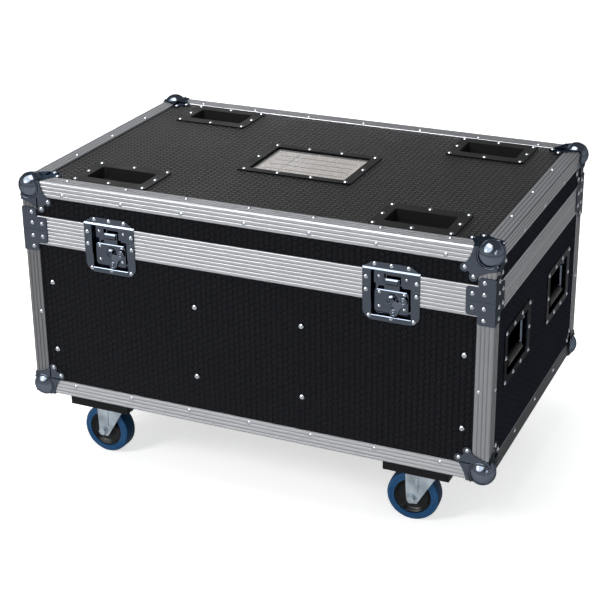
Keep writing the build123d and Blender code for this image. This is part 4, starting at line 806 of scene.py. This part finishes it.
# Latches
CAM_BELOW_JOINT = 0.0245
RECESS_FOOT = 0.0555
LIP_SINK = 0.0007
DISH_STEP, DISH_STEP_DEPTH, DISH_STEP_DROP = 0.0315, 0.0014, 0.0026
COVER_DROP = 0.0012
LOBE_OUT, LOBE_SPREAD, LOBE_DEPTH = 0.017, 0.015, 0.0024
RING_RADIUS, RING_BEAD, BUTTON_RADIUS = 0.0052, 0.0012, 0.0024
BOSS_RADIUS, BOSS_RISE = 0.0086, 0.0048
SINK = 0.0002
FORWARD = (0, -1, 0)


def faces_front(edge):
    return any(face.normal.y < -0.9 for face in edge.link_faces)


def painted_highlight_face(face):
    """Whether a face slopes up and to the front; these faces get a painted highlight."""
    return face.normal.z > 0.25 and face.normal.y < -0.2


def slope(shape, height, front, drop):
    """Turn the square step at the top of a pressing into a slope by lowering its front edge."""
    for vert in shape.verts:
        if abs(vert.co.z - height) < NEAR and vert.co.y < front:
            vert.co.z -= drop


def cam_place(side, y):
    """A place on the axis of a latch's cam."""
    return Vector((middle("latch_cam_" + side).x, y, joint_level() - CAM_BELOW_JOINT))


def wing_ways():
    """The directions out from a folded wing's hinge and along it."""
    tilt = sizes().wing_tilt
    return Vector((math.cos(tilt), 0.0, -math.sin(tilt))), Vector((math.sin(tilt), 0.0, math.cos(tilt)))


def wing_beads(shape, side):
    """A raised ring and a button on each lobe of a folded wing."""
    out, along = wing_ways()
    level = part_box("latch_wing_" + side)[0].y + LOBE_DEPTH
    for lobe in (1, -1):
        place = cam_place(side, level) + out * LOBE_OUT + along * LOBE_SPREAD * lobe
        spun(shape, bead_profile((0.0, RING_RADIUS), RING_BEAD), place, FORWARD, 28)
        button = [(-SINK, 0.0)] + arc_points((-SINK, 0.0), BUTTON_RADIUS, 90, 0, 5)
        spun(shape, button, place, FORWARD, 20)
    tidy_normals(shape)


def boss(shape, side):
    """Half a domed boss on the cam, on the side away from the wing."""
    out, along = wing_ways()
    centre = cam_place(side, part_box("latch_cover_plates")[0].y - NEAR) - out * SINK
    dome = [(BOSS_RISE * rise, BOSS_RADIUS * reach) for reach, rise in arc_points((0.0, 0.0), 1.0, 0, 90, 6)]
    half = bmesh.new()
    spun(half, [(0.0, 0.0)] + dome, centre, FORWARD, 16, start=along, angle=math.pi)
    add_closed(shape, half)


def rolled_lips(shape, front):
    """The rolled lip below each latch recess."""
    half = sizes().lip_length / 2
    radius = sizes().lip_round / 2
    profile = ((-half, 0.0), (-half, radius), (half, radius), (half, 0.0))
    for side in SIDES:
        place = cam_place(side, front + LIP_SINK)
        place.z = joint_level() - RECESS_FOOT - radius
        spun(shape, profile, place, (1, 0, 0), 20)
    tidy_normals(shape)


def latch_plate(node, name, shape):
    """A pressed plate of the latches, with a painted highlight, a lighter zinc, where it slopes up."""
    second_finish(piece(node, name, shape, bright_zinc()), bright_zinc(HIGHLIGHT_ZINC), painted_highlight_face)


class CASE_OT_latches(bpy.types.Operator):
    """Recessed butterfly latches"""
    bl_idname = "flight_case.latches"
    bl_label = "Latches"

    def execute(self, context):
        width = sizes().press_round
        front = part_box("base_edge_profiles")[0].y
        shape = merged("latch_base_dishes")
        round_edges(shape, width, only=faces_front)
        rolled_lips(shape, front)
        latch_plate("latch_base_dishes", "latch_lower_dishes", shape)
        shape = merged("latch_lid_dishes")
        slope(shape, joint_level() + DISH_STEP, front - DISH_STEP_DEPTH, DISH_STEP_DROP)
        round_edges(shape, width, only=faces_front)
        latch_plate("latch_lid_dishes", "latch_upper_dishes", shape)
        shape = merged("latch_cover_plates")
        low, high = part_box("latch_cover_plates")
        slope(shape, high.z, low.y + NEAR, COVER_DROP)
        round_edges(shape, width, only=faces_front)
        latch_plate("latch_cover_plates", "latch_covers", shape)
        for side in SIDES:
            # The wings are a lighter zinc, a painted sheen.
            for part, extra, metal in (("hook", None, bright_zinc()), ("cam", boss, bright_zinc()),
                                       ("wing", wing_beads, bright_zinc(WING_SHEEN_ZINC))):
                node = "latch_" + part + "_" + side
                shape = merged(node)
                round_edges(shape, sizes().cast_round, 3, only=faces_front)
                if extra:
                    extra(shape, side)
                cast = piece(node, part + "_" + side, shape, metal)
                # Painted highlight: faces sloping up and to the front get a lighter zinc.
                second_finish(cast, bright_zinc(HIGHLIGHT_ZINC), painted_highlight_face)
        return {"FINISHED"}


# Handles
PAN_HALF_WIDTH, PAN_HALF_HEIGHT = 0.0625, 0.0395
PAN_ROUND = 0.4
PAN_FLANGE = 0.0020
GRIP_BORE, GRIP_END, GRIP_BODY, GRIP_RIPPLE = 0.44, 0.86, 0.975, 0.02
GRIP_END_SHARE = 0.03
STEPS_PER_RING = 6


def grip_shape(node):
    """A moulded sleeve with raised rings, along Y."""
    low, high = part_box(node)
    radius = (high.z - low.z) / 2
    length = high.y - low.y
    ends = [(length / 2, radius * GRIP_BORE), (length / 2, radius * GRIP_END)]
    profile = [(-along, out) for along, out in ends]
    steps = sizes().grip_rings * STEPS_PER_RING
    for index in range(steps + 1):
        share = GRIP_END_SHARE + (1.0 - 2 * GRIP_END_SHARE) * index / steps
        ripple = 0.5 - 0.5 * math.cos(math.tau * index / STEPS_PER_RING)
        profile.append((length * (share - 0.5), radius * (GRIP_BODY + GRIP_RIPPLE * ripple)))
    shape = bmesh.new()
    spun(shape, profile + ends[::-1], middle(node), (0, 1, 0), 28)
    tidy_normals(shape)
    return shape


class CASE_OT_handles(bpy.types.Operator):
    """Recessed sprung handles"""
    bl_idname = "flight_case.handles"
    bl_label = "Handles"

    def execute(self, context):
        shape = merged("handle_dishes")
        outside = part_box("handle_dishes")[1].x
        level = middle("handle_dishes").z
        centres = [middle("handle_grip_" + name).y for name in CORNERS]
        round_rim(shape, sizes().lip_round * PAN_ROUND, lambda point: abs(point.x) > outside - NEAR
                  and abs(point.z - level) < PAN_HALF_HEIGHT
                  and min(abs(point.y - centre) for centre in centres) < PAN_HALF_WIDTH)
        round_edges(shape, sizes().rib_round)
        # Painted shade: the pans are a darker zinc, a little less dark inside.
        pans = piece("handle_dishes", "handle_pans", shape, bright_zinc(PAN_SHADE_ZINC))
        second_finish(pans, bright_zinc(PAN_INSIDE_SHADE_ZINC),
                      lambda face: abs(face.center.x) < outside - PAN_FLANGE)
        # Painted highlight: the springs are a lighter zinc.
        dress("handle_springs", bright_zinc(HIGHLIGHT_ZINC))
        for name in CORNERS:
            # Painted sheen: the bails are a lighter zinc.
            polished("handle_bail_" + name, "bail_" + name, bright_zinc(SHEEN_ZINC),
                     sizes().press_round)
            node = "handle_grip_" + name
            piece(node, "grip_" + name, grip_shape(node), grip_rubber())
        return {"FINISHED"}


# Lid pockets and label
POCKET_IN_X, POCKET_IN_Y = 0.079, 0.056
POCKET_HALF_LENGTH, POCKET_HALF_WIDTH = 0.0585, 0.0315
POCKET_ROUND = 0.45
POCKET_FLANGE = 0.0018


class CASE_OT_lid_fittings(bpy.types.Operator):
    """Wheel pockets, label frame, card and clear sheet"""
    bl_idname = "flight_case.lid_fittings"
    bl_label = "Lid fittings"

    def execute(self, context):
        width = sizes().press_round
        shape = merged("wheel_cups")
        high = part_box("wheel_cups")[1]
        centre_x, centre_y = high.x - POCKET_IN_X, high.y - POCKET_IN_Y
        round_rim(shape, sizes().lip_round * POCKET_ROUND, lambda point: point.z > high.z - NEAR
                  and abs(abs(point.x) - centre_x) < POCKET_HALF_LENGTH
                  and abs(abs(point.y) - centre_y) < POCKET_HALF_WIDTH)
        round_edges(shape, width)
        pockets = piece("wheel_cups", "wheel_pockets", shape, dark_steel(0.03))
        second_finish(pockets, dark_steel(0.02), lambda face: face.center.z < high.z - POCKET_FLANGE)
        polished("label_frame", "label_surround", dark_steel(0.03), width)
        dress("label_card", card_paper())
        shape = merged("label_window")
        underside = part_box("label_window")[0].z
        for vert in shape.verts:
            if vert.co.z < underside + NEAR:
                vert.co.z += sizes().sheet_lift
        round_edges(shape, width, 3)
        piece("label_window", "label_cover", shape, clear_sheet())
        return {"FINISHED"}


# Hinges
class CASE_OT_hinges(bpy.types.Operator):
    """Hinges at the back"""
    bl_idname = "flight_case.hinges"
    bl_label = "Hinges"

    def execute(self, context):
        for node, name in (("hinge_base_leaves", "hinge_lower"), ("hinge_lid_leaves", "hinge_upper"),
                           ("hinge_pins", "hinge_rods")):
            polished(node, name, satin_zinc(), sizes().rib_round)
        return {"FINISHED"}


# Casters
TYRE_HALF, TYRE_BORE = 0.0168, 0.0356
TYRE_LINE, TYRE_LINE_DEPTH = 0.0412, 0.0007
SHOULDER, SHOULDER_PLACE = 0.0060, 0.0437
TREAD_HALF, TREAD_EDGE, TREAD_TOP = 0.006, 0.04985, 0.04995
SHADED_TREAD_ZONE = 0.0486
HUB_HALF = 0.0150
HUB_FACE = ((HUB_HALF, 0.0062), (HUB_HALF, 0.0100), (0.0142, 0.0108), (0.0100, 0.0118), (0.0078, 0.0145),
            (0.0070, 0.0190), (0.0075, 0.0240), (0.0092, 0.0280), (0.0118, 0.0308), (0.0146, 0.0326),
            (HUB_HALF, 0.0333), (HUB_HALF, 0.0348), (0.0144, TYRE_BORE))
CREASE_SIZE = (0.0085, 0.0022, 0.050)
CREASE_AHEAD, CREASE_OUT, CREASE_UP, CREASE_ROUND = 0.0085, 0.0241, 0.0385, 0.0010


def wheel_shape(side, crown, centre, axle, steps):
    """A wheel part spun from the outline of one side, going outwards, and the points between the sides."""
    profile = [(-along, out) for along, out in side] + crown + list(side)[::-1]
    shape = bmesh.new()
    spun(shape, profile, centre, axle, steps)
    tidy_normals(shape)
    return shape


def tyre_shape(centre, axle):
    """A solid tyre with soft shoulders and a shallow line each side."""
    side = [(TYRE_HALF, TYRE_BORE), (TYRE_HALF, TYRE_LINE - TYRE_LINE_DEPTH),
            (TYRE_HALF - TYRE_LINE_DEPTH, TYRE_LINE), (TYRE_HALF, TYRE_LINE + TYRE_LINE_DEPTH)]
    side += arc_points((TYRE_HALF - SHOULDER, SHOULDER_PLACE), SHOULDER, 0, 80, 8)
    side += [(TREAD_HALF, TREAD_EDGE)]
    return wheel_shape(side, [(0.0, TREAD_TOP)], centre, axle, 72)


def fork_shape(node, centre, axle, swivel):
    """The fork with a pressed crease down the outside of each leg."""
    shape = merged(node)
    round_edges(shape, sizes().press_round)
    up = Vector((0, 0, 1))
    ahead = Vector((swivel[0] - centre.x, swivel[1] - centre.y, 0.0)).normalized()
    turn = Matrix((ahead, axle, up)).transposed().to_4x4()
    creases = bmesh.new()
    for side in (-1, 1):
        block = bmesh.ops.create_cube(creases, size=1.0)["verts"]
        bmesh.ops.scale(creases, vec=CREASE_SIZE, verts=block)
        place = centre + ahead * CREASE_AHEAD + axle * side * CREASE_OUT + up * CREASE_UP
        bmesh.ops.transform(creases, matrix=Matrix.Translation(place) @ turn, verts=block)
    bmesh.ops.recalc_face_normals(creases, faces=creases.faces)
    round_edges(creases, CREASE_ROUND, 3)
    add_closed(shape, creases)
    return shape


class CASE_OT_casters(bpy.types.Operator):
    """Swivel casters with blue tyres, and the boards they hang from"""
    bl_idname = "flight_case.casters"
    bl_label = "Casters"

    def execute(self, context):
        polished("caster_boards", "caster_blocks", black_board(), sizes().board_round)
        polished("caster_plates", "caster_mounts", satin_zinc(), sizes().rib_round)
        for name in CORNERS:
            centre = middle("wheel_tyre_" + name)
            axle = Vector(joint("wheel_" + name + "_spin")["axis"]).normalized()
            swivel = joint("caster_" + name + "_swivel")["pos_m"]
            fork = fork_shape("caster_fork_" + name, centre, axle, swivel)
            piece("caster_fork_" + name, "fork_" + name, fork, satin_zinc())
            tyre = piece("wheel_tyre_" + name, "tyre_" + name, tyre_shape(centre, axle), blue_tyre())
            # Painted shade on the tread, the faces beyond a radius from the axle.
            second_finish(tyre, blue_tyre(shaded_tread=True),
                          lambda face: (face.center - centre).cross(axle).length > SHADED_TREAD_ZONE)
            hub = wheel_shape(HUB_FACE, [], centre, axle, 64)
            piece("wheel_hub_" + name, "hub_" + name, hub, black_nylon())
        return {"FINISHED"}


# Lining
class CASE_OT_lining(bpy.types.Operator):
    """Foam pads and the inner boards"""
    bl_idname = "flight_case.lining"
    bl_label = "Lining"

    def execute(self, context):
        for node, name in (("base_foam", "base_pads"), ("lid_foam", "lid_pad")):
            shape = merged(node)
            round_edges(shape, sizes().foam_round, 3, 50.0)
            pad = piece(node, name, shape, foam(), sharp=60.0)
        polished("dividers", "inner_boards", inner_board(), sizes().press_round)
        return {"FINISHED"}


# Stage
WHITE = (1.0, 1.0, 1.0)
WARM = (1.0, 0.99, 0.97)
COOL = (0.97, 0.985, 1.0)
LIT_POINT = Vector((0.0, 0.0, 0.3))
FLOOR_REACH = 30.0
BACKDROP_FADE = (0.62, 0.20)
CEILING_WAY = Vector((-0.30, -0.50, 0.80)).normalized()
CEILING_FADE = (0.80, 0.90)
PICTURE_PIXELS = 600.0
FOCAL_PIXELS = 1488.41
AXIS_PIXEL = (330.0, 240.0)
SENSOR_WIDTH = 36.0
CAMERA_PLACE = (1.0900, -2.4699, 1.4955)
CAMERA_ANGLES = (23.06, 21.62, -0.179)


def soft_light(name, place, power, width, height, colour=WHITE):
    """A rectangular lamp that faces the case."""
    data = bpy.data.lights.new(name, "AREA")
    data.shape = "RECTANGLE"
    data.size = width
    data.size_y = height
    data.energy = power
    data.color = colour
    lamp = placed(name, data)
    lamp.location = place
    lamp.rotation_euler = (LIT_POINT - Vector(place)).to_track_quat("-Z", "Y").to_euler()


def seen_straight(nodes, rays):
    """One for a ray from the camera, also through the clear sheet, and nought for the others."""
    return nodes.math("ADD", rays.outputs["Is Camera Ray"], rays.outputs["Is Transmission Ray"])


def stage_floor():
    """A floor that glows a little, less so as metal shows it."""
    settings = bpy.context.scene.case_stage
    shape = bmesh.new()
    bmesh.ops.create_grid(shape, x_segments=2, y_segments=2, size=FLOOR_REACH)
    floor = placed("studio_floor", mesh_of("studio_floor", shape))
    finish = Finish("Studio floor", colours().floor, roughness=0.9, specular=0.1)
    rays = finish.add("LightPath")
    mirrored = finish.math("MULTIPLY", rays.outputs["Is Glossy Ray"], settings.mirror_glow)
    seen = seen_straight(finish, rays)
    finish.set("Emission Color", WHITE)
    finish.set("Emission Strength", finish.math("MULTIPLY_ADD", seen, settings.floor_glow, mirrored))
    floor.data.materials.append(finish.material)


def stage_room():
    """White to the camera and low down in metal, dim elsewhere, with a soft light that only metal shows."""
    settings = bpy.context.scene.case_stage
    world = bpy.data.worlds.new("Studio")
    bpy.context.scene.world = world
    world.use_nodes = True
    world.node_tree.nodes.clear()
    room = Nodes(world.node_tree)
    rays = room.add("LightPath")
    glossy = rays.outputs["Is Glossy Ray"]
    facing = room.add("TexCoord").outputs["Generated"]
    backdrop = room.remap(room.split(facing)[2], *BACKDROP_FADE, smooth=True)
    share = room.math("MULTIPLY_ADD", glossy, backdrop, seen_straight(room, rays), clamp=True)
    toward = room.vector("DOT_PRODUCT", facing, CEILING_WAY, out="Value")
    overhead = room.math("MULTIPLY", glossy, room.remap(toward, *CEILING_FADE, smooth=True))
    dim, white, ceiling = (room.add("Background", *light).outputs[0] for light in (
        (COOL, settings.room_level), (WHITE, 1.0), (WARM, settings.ceiling_level)))
    around = room.add("MixShader", share, dim, white).outputs[0]
    room.add("OutputWorld", room.add("MixShader", overhead, around, ceiling).outputs[0])


def stage_camera():
    """The photograph's view; its frame is a crop, so the lens is shifted a little."""
    data = bpy.data.cameras.new("camera")
    data.sensor_width = SENSOR_WIDTH
    data.lens = FOCAL_PIXELS * SENSOR_WIDTH / PICTURE_PIXELS
    data.shift_x = (PICTURE_PIXELS / 2 - AXIS_PIXEL[0]) / PICTURE_PIXELS
    data.shift_y = (AXIS_PIXEL[1] - PICTURE_PIXELS / 2) / PICTURE_PIXELS
    data.clip_end = 100.0
    camera = placed("camera", data)
    azimuth, elevation, roll = (math.radians(angle) for angle in CAMERA_ANGLES)
    ahead = Vector((-math.sin(azimuth) * math.cos(elevation), math.cos(azimuth) * math.cos(elevation),
                    -math.sin(elevation)))
    right = Vector((math.cos(azimuth), math.sin(azimuth), 0.0))
    up = right.cross(ahead)
    right_rolled = right * math.cos(roll) + up * math.sin(roll)
    up_rolled = up * math.cos(roll) - right * math.sin(roll)
    turn = Matrix((right_rolled, up_rolled, -ahead)).transposed().to_4x4()
    camera.matrix_world = Matrix.Translation(CAMERA_PLACE) @ turn
    bpy.context.scene.camera = camera


class CASE_OT_stage(bpy.types.Operator):
    """Pale floor, soft lights and the camera"""
    bl_idname = "flight_case.stage"
    bl_label = "Stage"

    def execute(self, context):
        settings = context.scene.case_stage
        stage_floor()
        stage_room()
        soft_light("key_light", (-1.9, -3.0, 2.6), settings.key_power, 1.1, 1.1, WARM)
        soft_light("fill_light", (3.0, -2.4, 1.8), settings.fill_power, 0.7, 1.2, COOL)
        soft_light("top_light", (-0.3, -0.4, 3.0), settings.top_power, 1.9, 1.1)
        soft_light("back_light", (-2.2, 3.0, 1.9), settings.back_power, 1.6, 0.7)
        stage_camera()
        context.scene.view_settings.view_transform = "Standard"
        return {"FINISHED"}


OPERATORS = (CASE_OT_panels, CASE_OT_profiles, CASE_OT_rivets, CASE_OT_corners, CASE_OT_latches,
             CASE_OT_handles, CASE_OT_lid_fittings, CASE_OT_hinges, CASE_OT_casters, CASE_OT_lining,
             CASE_OT_stage)


class CASE_PT_panel(bpy.types.Panel):
    """Lists the pieces of the flight case"""
    bl_idname = "CASE_PT_panel"
    bl_label = "Flight Case"
    bl_space_type = "VIEW_3D"
    bl_region_type = "UI"
    bl_category = "Flight Case"

    def draw(self, context):
        for operator in OPERATORS:
            self.layout.operator(operator.bl_idname)
        for group in (context.scene.case_sizes, context.scene.case_colours, context.scene.case_stage):
            box = self.layout.box()
            for name in group.bl_rna.properties.keys():
                if name not in ("rna_type", "name"):
                    box.prop(group, name)


CLASSES = (CaseColours, CaseSizes, CaseStage, *OPERATORS, CASE_PT_panel)


def register():
    for item in CLASSES:
        bpy.utils.register_class(item)
    bpy.types.Scene.case_colours = PointerProperty(type=CaseColours)
    bpy.types.Scene.case_sizes = PointerProperty(type=CaseSizes)
    bpy.types.Scene.case_stage = PointerProperty(type=CaseStage)


def unregister():
    del bpy.types.Scene.case_stage
    del bpy.types.Scene.case_sizes
    del bpy.types.Scene.case_colours
    for item in reversed(CLASSES):
        bpy.utils.unregister_class(item)


def main():
    register()
    for operator in OPERATORS:
        group, name = operator.bl_idname.split(".")
        getattr(getattr(bpy.ops, group), name)()


if __name__ == "__main__":
    main()
